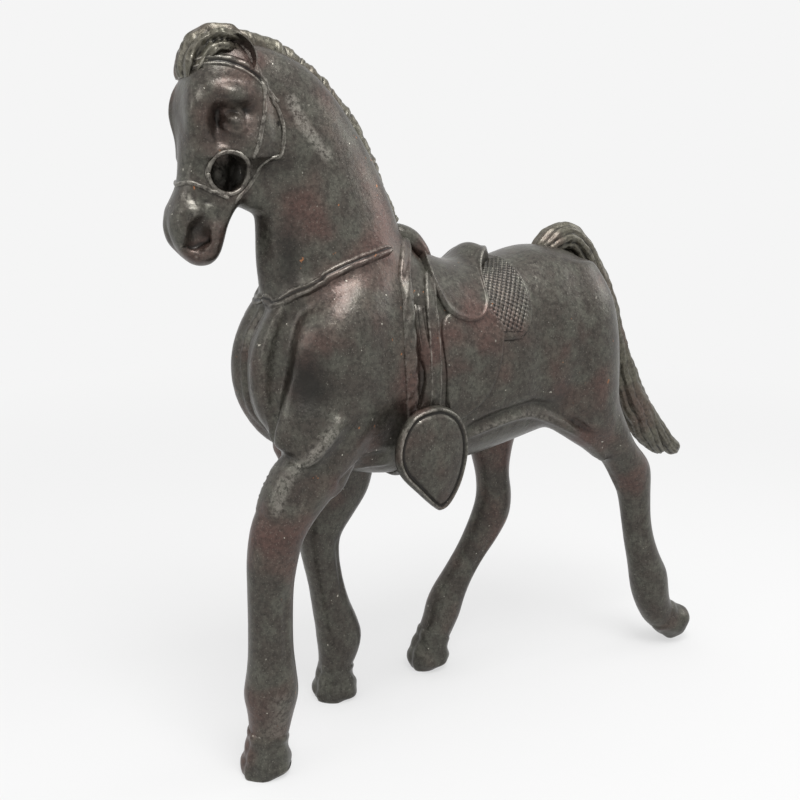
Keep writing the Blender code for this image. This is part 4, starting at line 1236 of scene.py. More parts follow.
@dataclass(frozen=True)
class Saddle:
    """Seat and side flaps in one casting, its cantle, its pommel and the cloth under it.

    Sizes are millimetres. A degree round the barrel is per_degree millimetres long.
    """

    thickness: float = 0.55
    rim_height: float = 0.3
    cantle_rise: float = 2.8
    per_degree: float = 0.29
    weave_pitch: float = 1.12
    weave_depth: float = 0.12
    weave_lift: float = 0.12
    weave_sink: float = 0.3
    weave_grid: tuple[int, int] = (150, 84)
    cloth_thickness: float = 0.45

    def seat(self, ground: Ground) -> Object:
        """The bowl of the seat with both flaps and the rim round them.

        Args:
            ground: the hide that it lies on.

        Returns:
            The seat with its flaps.
        """
        outline = (SADDLE_FRONT, *NEAR_SADDLE_EDGE, SADDLE_BACK, *other_side(NEAR_SADDLE_EDGE[::-1]))
        sheet = Sheet(
            "cast_saddle", outline, (-2.0, 0.0), self.thickness, 0.42, self.rim_height,
            bevel=0.3, lift=0.35, rings=40, millimetres_per_unit=(1.0, self.per_degree),
        )
        cantle = Swell((-8.9, 0.0, 85.0), (3.3, 6.4, 9.0), self.cantle_rise, False)
        fork = Swell((4.0, 0.0, 86.0), (2.6, 5.0, 6.0), 0.5, False)
        bowl = Swell((-2.0, 0.0, 84.0), (3.6, 4.0, 3.0), -0.2, False)
        return sheet.build(ground.round_barrel, ground, (cantle, fork, bowl))

    def pommel(self) -> Object:
        """The rounded roll at the front of the seat.

        Returns:
            The roll.
        """
        rows = (
            (9, 88.3, 1.1, 1.8, 0), (7.1, 88.8, 1.7, 2.5, 0), (4.8, 87.8, 2, 3, 0),
            (3, 86, 1.8, 3.3, 0), (1.7, 84.3, 1.3, 3.1, 0), (0.9, 83.2, 0.7, 2.4, 0),
        )
        return limb("cast_pommel", rows, 1.0, 2.2).build()

    def cloth(self, ground: Ground) -> Object:
        """The plain part of the saddle cloth, mostly hidden by the seat.

        Args:
            ground: the hide that it lies on.

        Returns:
            The cloth.
        """
        outline = (*BLANKET_EDGE, *other_side(BLANKET_EDGE[::-1]))
        sheet = Sheet(
            "cast_saddle_cloth", outline, (-4.5, 0.0), self.cloth_thickness, 0.5, 0.1, bevel=0.4,
            rings=36, steps=8, millimetres_per_unit=(1.0, self.per_degree),
        )
        return sheet.build(ground.round_barrel, ground)

    def weave(self, ground: Ground, side: Side) -> Object:
        """The woven part of the cloth that shows behind a flap.

        Its threads cross: the height is the product of two cosine waves, one along the cloth
        and one down it, so that the raised places stand in slanting rows.

        Args:
            ground: the hide that it lies on.
            side: the side that it is on.

        Returns:
            The woven sheet.
        """
        rows, columns = self.weave_grid
        front, back = through(WEAVE_FRONT, 30), through(WEAVE_BACK, 30)
        at = np.linspace(0, len(front) - 1, rows).astype(int)
        share = np.linspace(0, 1, columns)[None, :, None]
        flat = front[at][:, None] * (1 - share) + back[at][:, None] * share
        flat = flat * [1.0, side.value]
        on_hide = ground.round_barrel(flat)
        up = ground.normals(on_hide)
        down = np.abs(flat[..., 1]) * self.per_degree
        lean = 0.35 * down
        along = 2 * np.pi * (flat[..., 0] + lean) / self.weave_pitch
        threads = np.cos(along) * np.cos(2 * np.pi * (down - 0.2 * flat[..., 0]) / self.weave_pitch)
        border = np.minimum(share[..., 0] * 6, (1 - share[..., 0]) * 8)
        border = np.minimum(border, np.minimum(np.linspace(0, 12, rows), np.linspace(12, 0, rows))[:, None])
        edge = np.clip(border, 0, 1) ** 0.5
        hem = 0.25 * np.exp(-(((1 - share[..., 0]) * 9 - 0.5) ** 2) / 0.16)
        rise = edge * (self.cloth_thickness + self.weave_lift + self.weave_depth * threads + hem)
        return raised_strip(f"{side.name.lower()}_cloth_weave", on_hide, up, rise, self.weave_sink)


@dataclass(frozen=True)
class Harness:
    """Fenders, girth, stirrup leathers, hooded stirrups and breast straps."""

    fender_thickness: float = 0.55
    leather_width: float = 2.3
    band_width: float = 2.5
    breast_width: float = 2.0
    relief: float = 0.5
    hood_offset: float = 16.4
    hood_dip: float = 0.6
    hood_hinge_up: float = 58.0
    hood_lean: float = 0.02
    hood_bulge: float = 1.5
    hood_rim: float = 0.4
    hood_groove: float = 0.3
    hood_thickness: float = 1.5

    def fender(self, ground: Ground, side: Side) -> Object:
        """The faint panel below a flap.

        Args:
            ground: the hide that it lies on.
            side: the side that it is on.

        Returns:
            The panel.
        """
        name = f"{side.name.lower()}_cast_fender"
        sheet = Sheet(
            name, FENDER_EDGE, (-1.0, 67.0), self.fender_thickness, 0.5, 0.12, bevel=0.9, rings=22, steps=8
        )
        return sheet.build(lambda flat: ground.from_side(flat, side), ground)

    def leather(self, ground: Ground, side: Side) -> Object:
        """The stirrup leather from under a flap to its hood.

        Args:
            ground: the hide that it lies on.
            side: the side that it is on.

        Returns:
            The leather.
        """
        name = f"{side.name.lower()}_cast_leather"
        strap = Strap(name, LEATHER_ROUTE, self.leather_width, self.relief, Profile.BORDERED, 0.25, side)
        return strap.build(ground)

    def band(self, ground: Ground) -> Object:
        """The girth with its front bands, from the withers round the belly and up again.

        Args:
            ground: the hide that it lies on.

        Returns:
            The girth.
        """
        route = ground.round_barrel(through(across_both(BAND_ROUTE), 3))
        rows = tuple(map(tuple, route))
        return Strap("cast_girth", rows, self.band_width, self.relief, lift=0.1).build(ground)

    def breast_strap(self, ground: Ground, side: Side) -> Object:
        """A breast strap, two rolls with a groove between.

        Args:
            ground: the hide that it lies on.
            side: the side that it is on.

        Returns:
            The strap.
        """
        route = BREAST_STRAP_ROUTE if side is Side.NEAR else other_side(BREAST_STRAP_ROUTE)
        name = f"{side.name.lower()}_cast_breast_strap"
        return Strap(name, route, self.breast_width, self.relief, Profile.DOUBLE).build(ground)

    def stirrup(self, side: Side) -> Object:
        """A spade-shaped hood over the stirrup, domed and rimmed, hanging by the barrel.

        Args:
            side: the side that it is on.

        Returns:
            The hood.
        """
        edge = closed_through(HOOD_EDGE, 8) + [0.0, 0.2]
        middle = np.array((8.8, 52.7))
        share = np.concatenate([np.linspace(0.04, 1, 44), [1.0, 0.6, 0.04]])
        flat = middle + share[:, None, None] * (edge - middle)
        spoke = np.linalg.norm(edge - middle, axis=1)
        from_edge = (1 - share)[:, None] * spoke
        dome = self.hood_bulge * (1 - share[:, None] ** 2.4) + np.zeros_like(from_edge)
        rim = self.hood_rim * np.exp(-(((from_edge - 0.4) / 0.32) ** 2))
        rim -= self.hood_groove * np.exp(-(((from_edge - 1.1) / 0.35) ** 2))
        corner = 0.5 * np.exp(-((from_edge / 0.3) ** 2))
        out = self.hood_offset - self.hood_dip + dome + rim - corner
        out[-3:] = self.hood_offset - self.hood_thickness
        lean = (self.hood_hinge_up - flat[..., 1]) * self.hood_lean
        left = (out - lean) * side.value
        rings = np.stack([flat[..., 0], left, flat[..., 1]], axis=-1)
        return tube(f"{side.name.lower()}_cast_stirrup", rings)


# ---------------------------------------------------------------------------
# Bridle

# The near half of each route that crosses the head
NOSEBAND_ROUTE = (
    (38.4, 4.8, 95.8), (40.4, 5, 96.2), (42.6, 4.8, 97), (44.4, 3.2, 97.5), (45.4, 1.4, 97.4),
    (45.5, 0, 97.2),
)
BROWBAND_ROUTE = (
    (32, 5.4, 111.6), (34.6, 5.8, 113.8), (37.6, 5.4, 114.9), (40.4, 4.2, 115), (42, 2.2, 114.2),
    (42.6, 0, 113.8),
)
CROWN_ROUTE = (
    (30.4, 5.6, 109.2), (32.4, 5.4, 111.8), (33.8, 5, 114.4), (34.8, 3.8, 117.2), (35.4, 2, 119),
    (35.6, 0, 119.6),
)
CROWN_WIDTH = 1.3
CHEEK_ROUTE = (
    (35, 5.6, 101), (34, 6, 103.6), (33, 6.2, 107.2), (32.5, 5.8, 110.4), (33, 5.4, 112.4),
)
THROAT_ROUTE = (
    (32.6, 5.4, 112.2), (31, 5.4, 109.6), (29.9, 5.4, 106.4), (29.8, 5.4, 103.2), (30.8, 5.4, 100.6),
    (34.2, 4.4, 97.4), (37.4, 3, 94.4),
)


@dataclass(frozen=True)
class Bridle:
    """The head's straps, thin raised lines, and the raised rims of the rein hole."""

    width: float = 0.75
    brow_width: float = 2.0
    relief: float = 0.32
    rim_radius: float = 3.1
    rim_ease: int = 6
    rim_width: float = 0.38

    def line(self, name: str, route: Rows, ground: Ground, width: float = 1.0) -> Object:
        """A strap as a thin raised line.

        Args:
            name: the piece's name.
            route: forward, left and up along it.
            ground: the hide that it lies on.
            width: its width as a share of the usual one.

        Returns:
            The strap.
        """
        strap = Strap(name, route, self.width * width, self.relief, Profile.ROUND, steps=7, columns=9)
        return strap.build(ground)

    def browband(self, ground: Ground) -> Object:
        """The browband, a thick roll with a thin one above it.

        Args:
            ground: the hide that it lies on.

        Returns:
            The browband.
        """
        route, height = across_both(BROWBAND_ROUTE), self.relief * 1.5
        strap = Strap("cast_browband", route, self.brow_width, height, Profile.DOUBLE, columns=21)
        return strap.build(ground)

    def rim(self, ground: Ground, side: Side) -> Object:
        """A raised ring round one end of the rein hole, part of a torus on the cheek.

        Args:
            ground: the hide that it lies on.
            side: the side that it is on.

        Returns:
            The ring.
        """
        turn = 2 * np.pi * np.arange(73) / 72
        around = turns(12)
        outer = np.stack([np.cos(turn), np.sin(turn)], axis=-1) * (self.rim_radius + 0.6) + REIN_HOLE
        left = ground.from_side(outer, side)[:, 1]
        window = 2 * self.rim_ease + 1
        padded = np.pad(left[:-1], self.rim_ease, mode="wrap")
        left = np.convolve(padded, np.ones(window) / window, mode="valid")
        left = np.append(left, left[0])
        reach = self.rim_radius + self.rim_width * np.cos(around)[None, :]
        forward = REIN_HOLE[0] + reach * np.cos(turn)[:, None]
        up = REIN_HOLE[1] + reach * np.sin(turn)[:, None]
        out = left[:, None] - 0.1 * side.value + side.value * self.rim_width * np.sin(around)[None, :]
        return tube(f"{side.name.lower()}_bit_rim", np.stack([forward, out, up], axis=-1))


# ---------------------------------------------------------------------------
# Ears, hair and hooves

CREST_LINE = (
    (36.8, 118.2, 1), (33.4, 118.6, 1.3), (29.6, 117.7, 1.4), (26, 116, 1.5), (22.7, 113.8, 1.5),
    (19.6, 110.9, 1.5), (16.5, 107.5, 1.5), (13.7, 103.4, 1.45), (11.4, 98.7, 1.35), (9.5, 94.6, 1.25),
    (8.1, 91.9, 1.2), (6.8, 90.7, 0.9),
)
TAIL_ROWS = (
    (-24, 82.6, 1.3, 1.8, 0), (-25.8, 84.9, 2.1, 2.5, 0), (-28.4, 86.6, 2.5, 2.7, 0),
    (-31.3, 86.9, 2.6, 2.7, 0), (-34.1, 85.2, 2.5, 2.6, 0), (-36.7, 82, 2.4, 2.5, 0),
    (-39.4, 78, 2.4, 2.5, 0), (-41.7, 73.6, 2.4, 2.5, 0), (-43.3, 68.8, 2.5, 2.6, 0),
    (-44.9, 64, 2.8, 2.8, 0), (-47, 59.2, 3.2, 2.9, 0), (-49.4, 54.3, 3.4, 2.9, 0),
    (-52.4, 49.6, 3.3, 2.8, 0), (-55.6, 45.4, 2.8, 2.5, 0), (-58.2, 42.2, 2, 2, 0),
    (-60, 40.2, 1, 1.3, 0),
)
LOCK_ROWS = (
    (-45.6, 62.2, 1.2, 1.4, 0.6), (-48, 58, 1.8, 1.9, 0.6), (-51, 53.5, 2.1, 2.1, 0.6),
    (-54.4, 49.2, 2.1, 2, 0.6), (-57.9, 45.4, 1.9, 1.9, 0.6), (-60.9, 42.4, 1.8, 1.8, 0.6),
    (-63.2, 40.5, 1.6, 1.6, 0.6), (-64.2, 39.6, 0.9, 0.9, 0.6),
)
FORELOCK_ROWS = (
    (34.6, 117.4, 1.9, 2.6, 0.2), (37, 117.4, 2.8, 3.9, 0), (39.4, 116.7, 2.9, 4.2, -0.2),
    (41, 115.3, 2.4, 4.2, -0.5), (42, 113.7, 1.8, 3.8, -0.7), (42.6, 112.3, 1, 2.9, -0.8),
)


def swept(rows: Rows, steps: int, sides: int) -> tuple[Array, Array, Array]:
    """Sections square to a centre line in the side view, before any shape is given to them.

    Args:
        rows: forward, up, half depth, half width and left, along the line.
        steps: sections from one row to the next.
        sides: points round a section.

    Returns:
        The (sections, 3) centres, the (sections, sides, 3) offsets from them, and the
        lengths along the line in millimetres.
    """
    table = through(rows, steps)
    turn = turns(sides)
    deep = (table[:, 2:3] * np.cos(turn))[..., None] * ahead_of(table[:, 0:2])[:, None]
    wide = table[:, 3:4] * np.sin(turn)
    centre = np.stack([table[:, 0], table[:, 4], table[:, 1]], axis=1)
    offset = np.stack([deep[..., 0], wide, deep[..., 1]], axis=-1)
    return centre, offset, length_along(table[:, 0:2])


@dataclass(frozen=True)
class Hair:
    """Mane, forelock and tail: swept masses with strands cut into them.

    The strands are ridges that run along the mass on a slant. A section's size is 1 plus
    the strand depth times a rounded saw wave of the turn and the length along the mass.
    """

    strand_depth: float = 0.16
    sides: int = 72
    mane_pitch: float = 2.7
    mane_sides: int = 48
    fall_grid: tuple[int, int] = (260, 34)
    fall_reach: float = 5.2
    fall_beat: float = 1.6
    fall_pitch: float = 3.6
    fall_lean: float = 2.2
    fall_sink: float = 0.4

    def strands(self, turn: Array, length: Array, count: int, twist: float, depth: float) -> Array:
        """The saw wave, with a second finer one on top.

        Args:
            turn: (sides,) turns round the section.
            length: (sections,) millimetres along the mass.
            count: strands round the section.
            twist: turns per millimetre.
            depth: how deep they are cut, as a share of the section.

        Returns:
            (sections, sides) factors.
        """
        phase = count * turn[None, :] + 2 * np.pi * twist * length[:, None]
        far = length[:, None]
        wander = 0.9 * np.sin(0.33 * far) + 0.5 * np.sin(0.9 * far + 2.0 * turn[None, :])
        coarse = np.abs(np.sin((phase + wander) / 2)) ** 0.7
        fine = np.abs(np.sin(1.5 * phase + 2 * wander + 1.0)) ** 0.8
        lumps = np.sin(0.8 * far + 1.7 * turn[None, :]) * np.sin(1.7 * far - turn[None, :])
        return 1 - depth + depth * (1.2 * coarse + 0.5 * fine + 0.25 * lumps)

    def mass(self, name: str, rows: Rows, count: int, twist: float, depth: float) -> Object:
        """One lock or mass of hair.

        Args:
            name: the piece's name.
            rows: the centre line and sizes, as swept takes them.
            count: strands round a section.
            twist: turns of the strands per millimetre.
            depth: how deep they are cut, as a share of the section.

        Returns:
            The hair.
        """
        centre, offset, length = swept(rows, 12, self.sides)
        size = self.strands(turns(self.sides), length, count, twist, depth)
        return tube(name, centre[:, None] + offset * size[..., None])

    def tail(self) -> list[Object]:
        """The tail's main mass and the outer lock that stands off its end.

        Returns:
            The two locks.
        """
        return [
            self.mass("cast_tail", TAIL_ROWS, 9, 0.035, self.strand_depth),
            self.mass("tail_outer_lock", LOCK_ROWS, 6, 0.05, self.strand_depth),
        ]

    def forelock(self) -> Object:
        """The tuft between the ears."""
        return self.mass("cast_forelock", FORELOCK_ROWS, 8, 0.06, 0.34)

    def mane(self, ground: Ground) -> list[Object]:
        """The plaited crest of the mane and the locks that lie on the off side.

        Args:
            ground: the hide that it lies on.

        Returns:
            The crest and the fall.
        """
        rows = [(f, u - 0.1, r * 1.12, r * 0.9, -0.25) for f, u, r in CREST_LINE]
        centre, offset, length = swept(rows, 26, self.mane_sides)
        turn, far = turns(self.mane_sides), length[:, None]
        uneven = 0.9 * np.sin(0.55 * far) + 0.5 * np.sin(1.31 * far + 1.0) + 0.3 * np.sin(2.9 * far)
        phase = np.pi * (far / self.mane_pitch + 0.28 * uneven) + (0.9 + 0.4 * np.sin(0.4 * far)) * turn
        tufts = np.abs(np.sin(phase)) ** 0.8 * (0.7 + 0.3 * np.sin(0.8 * far + 0.5))
        hairs = 0.5 + 0.5 * np.sin(5.3 * phase + 3.0 * np.sin(turn))
        size = 0.80 + 0.30 * tufts + 0.06 * hairs
        crest = tube("mane_crest", centre[:, None] + offset * size[..., None])
        return [crest, self.fall(ground)]

    def fall(self, ground: Ground) -> Object:
        """The mane's fall on the off side: overlapping slanted locks in relief.

        Args:
            ground: the hide that it lies on.

        Returns:
            The locks.
        """
        rows, columns = self.fall_grid
        crest = through(np.array(CREST_LINE)[1:-1, 0:2], 30)
        at = np.linspace(0, len(crest) - 1, rows).astype(int)
        crest = crest[at]
        run = unit(np.gradient(crest, axis=0))
        inward = np.stack([run[:, 1], -run[:, 0]], axis=1)
        inward = np.where((inward @ np.array([1.0, -0.4]))[:, None] < 0, -inward, inward)
        length = length_along(crest)
        share = np.linspace(0, 1, columns)
        from_end = np.minimum(length, length[-1] - length)
        beat = np.abs(np.sin(np.pi * length / self.fall_pitch))
        reach = (self.fall_reach + self.fall_beat * beat) * np.clip(from_end / 6, 0.15, 1) ** 0.6
        lean = (share**1.3)[None, :, None] * run[:, None] * self.fall_lean
        flat = crest[:, None] + inward[:, None] * (share[None, :, None] * reach[:, None, None]) + lean
        left = np.broadcast_to(-1.0 - 5.0 * share[None, :], flat.shape[:-1])
        on_hide = ground.nearest(np.stack([flat[..., 0], left, flat[..., 1]], axis=-1))
        up = ground.normals(on_hide)
        phase = length[:, None] / self.fall_pitch - 0.25 * share[None, :]
        lock = np.abs(np.sin(np.pi * phase)) ** 0.6
        hair = 0.5 + 0.5 * np.sin(2 * np.pi * (phase * 5 + 0.4 * share[None, :] ** 2))
        body = np.clip((1 - share) * 7, 0, 1)[None, :] ** 0.5
        rise = body * (0.25 + 0.6 * lock + 0.12 * hair)
        rise *= np.clip(from_end / 1.5, 0, 1)[:, None]
        return raised_strip("mane_fall", on_hide, up, rise, self.fall_sink)


@dataclass(frozen=True)
class Ear:
    """A short upright ear, a leaf-shaped cup with a thick rim.

    Along the ear, from 0 at the root to 1 at the tip, its half width swells and then closes
    in a rounded point. Across it, the outer face is hollow and the inner one full.
    """

    root: Point
    tip: Point
    opens: Point
    half_width: float = 2.5
    cup: float = 1.5
    wall: float = 1.0

    def build(self, side: Side) -> Object:
        """The ear as a closed mesh.

        Args:
            side: the side that it is on.

        Returns:
            The piece.
        """
        along = np.linspace(0, 1, 36)[:, None]
        across = np.linspace(-1, 1, 21)[None, :]
        half = self.half_width * np.sin(np.pi * (0.24 + 0.74 * along)) ** 0.6
        root, tip = np.array(self.root), np.array(self.tip)
        out = unit(np.array(self.opens))
        wide = unit(np.cross(out, unit(tip - root)))
        middle = root + (tip - root) * along
        dome = 1 - across**2
        hollow = np.clip(np.sin(np.pi * along), 0, 1) ** 0.5
        front = 0.5 - self.cup * hollow * dome
        back = front - self.wall * (0.12 + 0.88 * dome)
        spread = half * across

        def face(depth: Array) -> Array:
            """Points of the leaf at a depth along the way that it opens."""
            return middle[:, None] + spread[..., None] * wide + depth[..., None] * out

        rings = np.concatenate([face(back), face(front)[:, ::-1]], axis=1) * [1, side.value, 1]
        return tube(f"{side.name.lower()}_cast_ear", rings)


EARS = {
    Side.NEAR: Ear((35.6, 4.2, 113.4), (36.3, 3.6, 118.7), (0.66, 0.74, 0.1), 2.8),
    Side.OFF: Ear((39.7, 4, 112.6), (40.5, 4.3, 118.8), (0.82, -0.56, 0.1), 2.5),
}


@dataclass(frozen=True)
class Hoof:
    """A worn hoof that flares towards the ground.

    Its rings hold forward, up, half depth and half width, from the pastern down.
    """

    name: str
    rings: Rows
    offset: float
    toe_groove: float = 0.07
    heel_groove: float = 0.12
    toe_turn: float = 0.16
    heel_turn: float = 0.35

    def build(self) -> Object:
        """The hoof, flat on the ground and closed, with shallow grooves at toe and heel.

        Returns:
            The piece.
        """
        table = through(self.rings, 7)
        turn = turns(56)
        ahead = ahead_of(table[:, 0:2])
        toe = 1 - self.toe_groove * np.exp(-((np.angle(np.exp(1j * turn)) / self.toe_turn) ** 2))
        from_heel = np.angle(np.exp(1j * (turn - np.pi)))
        heel = 1 - self.heel_groove * np.exp(-((from_heel / self.heel_turn) ** 2))
        lumps = 1 + 0.03 * np.sin(3 * turn[None, :] + 2.0 * table[:, 1:2]) + 0.02 * np.sin(7 * turn)
        size = (toe * heel)[None, :] * lumps
        deep = table[:, 2:3] * np.cos(turn) * size
        wide = table[:, 3:4] * np.sin(turn) * size
        forward = table[:, 0:1] + deep * ahead[:, 0:1]
        up = np.maximum(table[:, 1:2] + deep * ahead[:, 1:2], 0.0)
        rings = np.stack([forward, self.offset + wide, up], axis=-1)
        return tube(self.name, rings)


HOOVES = (
    Hoof(
        "near_fore_cast_hoof",
        (
            (36.5, 8.6, 2.6, 2.7), (36.6, 7.6, 3.3, 3.4), (36.7, 6.7, 3.6, 3.6), (36.8, 5.6, 3.55, 3.55),
            (36.9, 4, 3.85, 3.8), (37, 2.4, 4.25, 4.05), (37.1, 1.2, 4.4, 4.15), (37, 0.4, 4.15, 3.9),
            (36.9, 0, 3.3, 3.1),
        ),
        8,
    ),
    Hoof(
        "off_fore_cast_hoof",
        (
            (15.3, 8, 2.6, 2.7), (15.4, 7.2, 3.15, 3.2), (15.5, 6.3, 3.5, 3.45), (15.6, 5.2, 3.5, 3.45),
            (15.7, 3.6, 3.9, 3.85), (15.7, 2.2, 4.35, 4.25), (15.7, 1, 4.4, 4.3), (15.7, 0.3, 4.05, 3.95),
            (15.6, 0, 3.2, 3.1),
        ),
        -8.2,
    ),
    Hoof(
        "near_hind_cast_hoof",
        (
            (-53.2, 7.6, 2.6, 2.6), (-54, 7, 3.3, 3.3), (-55, 6.3, 3.65, 3.6), (-56, 5.6, 3.7, 3.7),
            (-57.2, 4.8, 4, 3.9), (-58.3, 4.2, 4.1, 4), (-59.2, 3.7, 3.9, 3.8), (-59.9, 3.3, 3.2, 3.2),
            (-60.3, 3.1, 2.1, 2.1),
        ),
        8,
    ),
    Hoof(
        "off_hind_cast_hoof",
        (
            (-7.6, 8.6, 2.6, 2.6), (-7.4, 7.8, 3.2, 3.2), (-7.1, 6.9, 3.5, 3.4), (-6.8, 5.8, 3.55, 3.45),
            (-6.4, 4.4, 3.9, 3.75), (-6.1, 3, 4.3, 4), (-5.9, 1.9, 4.35, 4), (-5.9, 1.1, 3.9, 3.6),
            (-6, 0.7, 3.1, 2.9),
        ),
        -8.4,
    ),
)


# ---------------------------------------------------------------------------
# Finishes


def linear(hex_colour: str) -> tuple[float, float, float, float]:
    """An sRGB hex colour such as "#4a423c" as linear red, green, blue and alpha.

    Args:
        hex_colour: the colour.

    Returns:
        Four values from 0 to 1.
    """
    parts = [int(hex_colour[i : i + 2], 16) / 255 for i in (1, 3, 5)]
    values = [c / 12.92 if c <= 0.04045 else ((c + 0.055) / 1.055) ** 2.4 for c in parts]
    return (*values, 1.0)


def add_node(tree: Tree, kind: str, settings: dict | None = None, **inputs) -> bpy.types.Node:
    """Adds a node with its settings and inputs.

    Args:
        tree: the material's node tree.
        kind: the node's type name without its ShaderNode prefix.
        settings: attributes of the node.
        inputs: values or output sockets by input name, with _ for a space, or by number as
            i0, i1 and so on.

    Returns:
        The node.
    """
    node = tree.nodes.new("ShaderNode" + kind)
    for key, value in (settings or {}).items():
        setattr(node, key, value)
    for key, value in inputs.items():
        number = key[0] == "i" and key[1:].isdigit()
        socket = node.inputs[int(key[1:]) if number else key.replace("_", " ")]
        if isinstance(value, Socket):
            tree.links.new(value, socket)
        else:
            socket.default_value = value
    return node


def new_material(name: str) -> tuple[bpy.types.Material, Tree, bpy.types.Node, Socket]:
    """Starts a material.

    Args:
        name: the material's name.

    Returns:
        The material, its node tree, its main shader and the object coordinates.
    """
    made = bpy.data.materials.new(name)
    made.use_nodes = True
    tree = made.node_tree
    place = add_node(tree, "TexCoord").outputs["Object"]
    return made, tree, tree.nodes["Principled BSDF"], place


def ramp(
    tree: Tree, value: Socket, span: tuple[float, float],
    to: tuple[float, float] = (0.0, 1.0), kind: str = "SMOOTHSTEP",
) -> Socket:
    """Turns one span of values into another.

    Args:
        tree: the material's node tree.
        value: what is turned.
        span: where the ramp starts and ends.
        to: what it gives there, and beyond on either side.
        kind: the ramp's interpolation.

    Returns:
        The socket of the turned value.
    """
    (low, high), (least, most) = span, to
    ranged = add_node(
        tree, "MapRange", {"interpolation_type": kind},
        Value=value, From_Min=low, From_Max=high, To_Min=least, To_Max=most,
    )
    return ranged.outputs["Result"]


@dataclass(frozen=True)
class Pattern:
    """Noise that lets a colour in: not at all below span[0], and by the amount above span[1]."""

    size: float
    detail: float
    span: tuple[float, float]
    amount: float = 1.0
    rough: float = 0.55


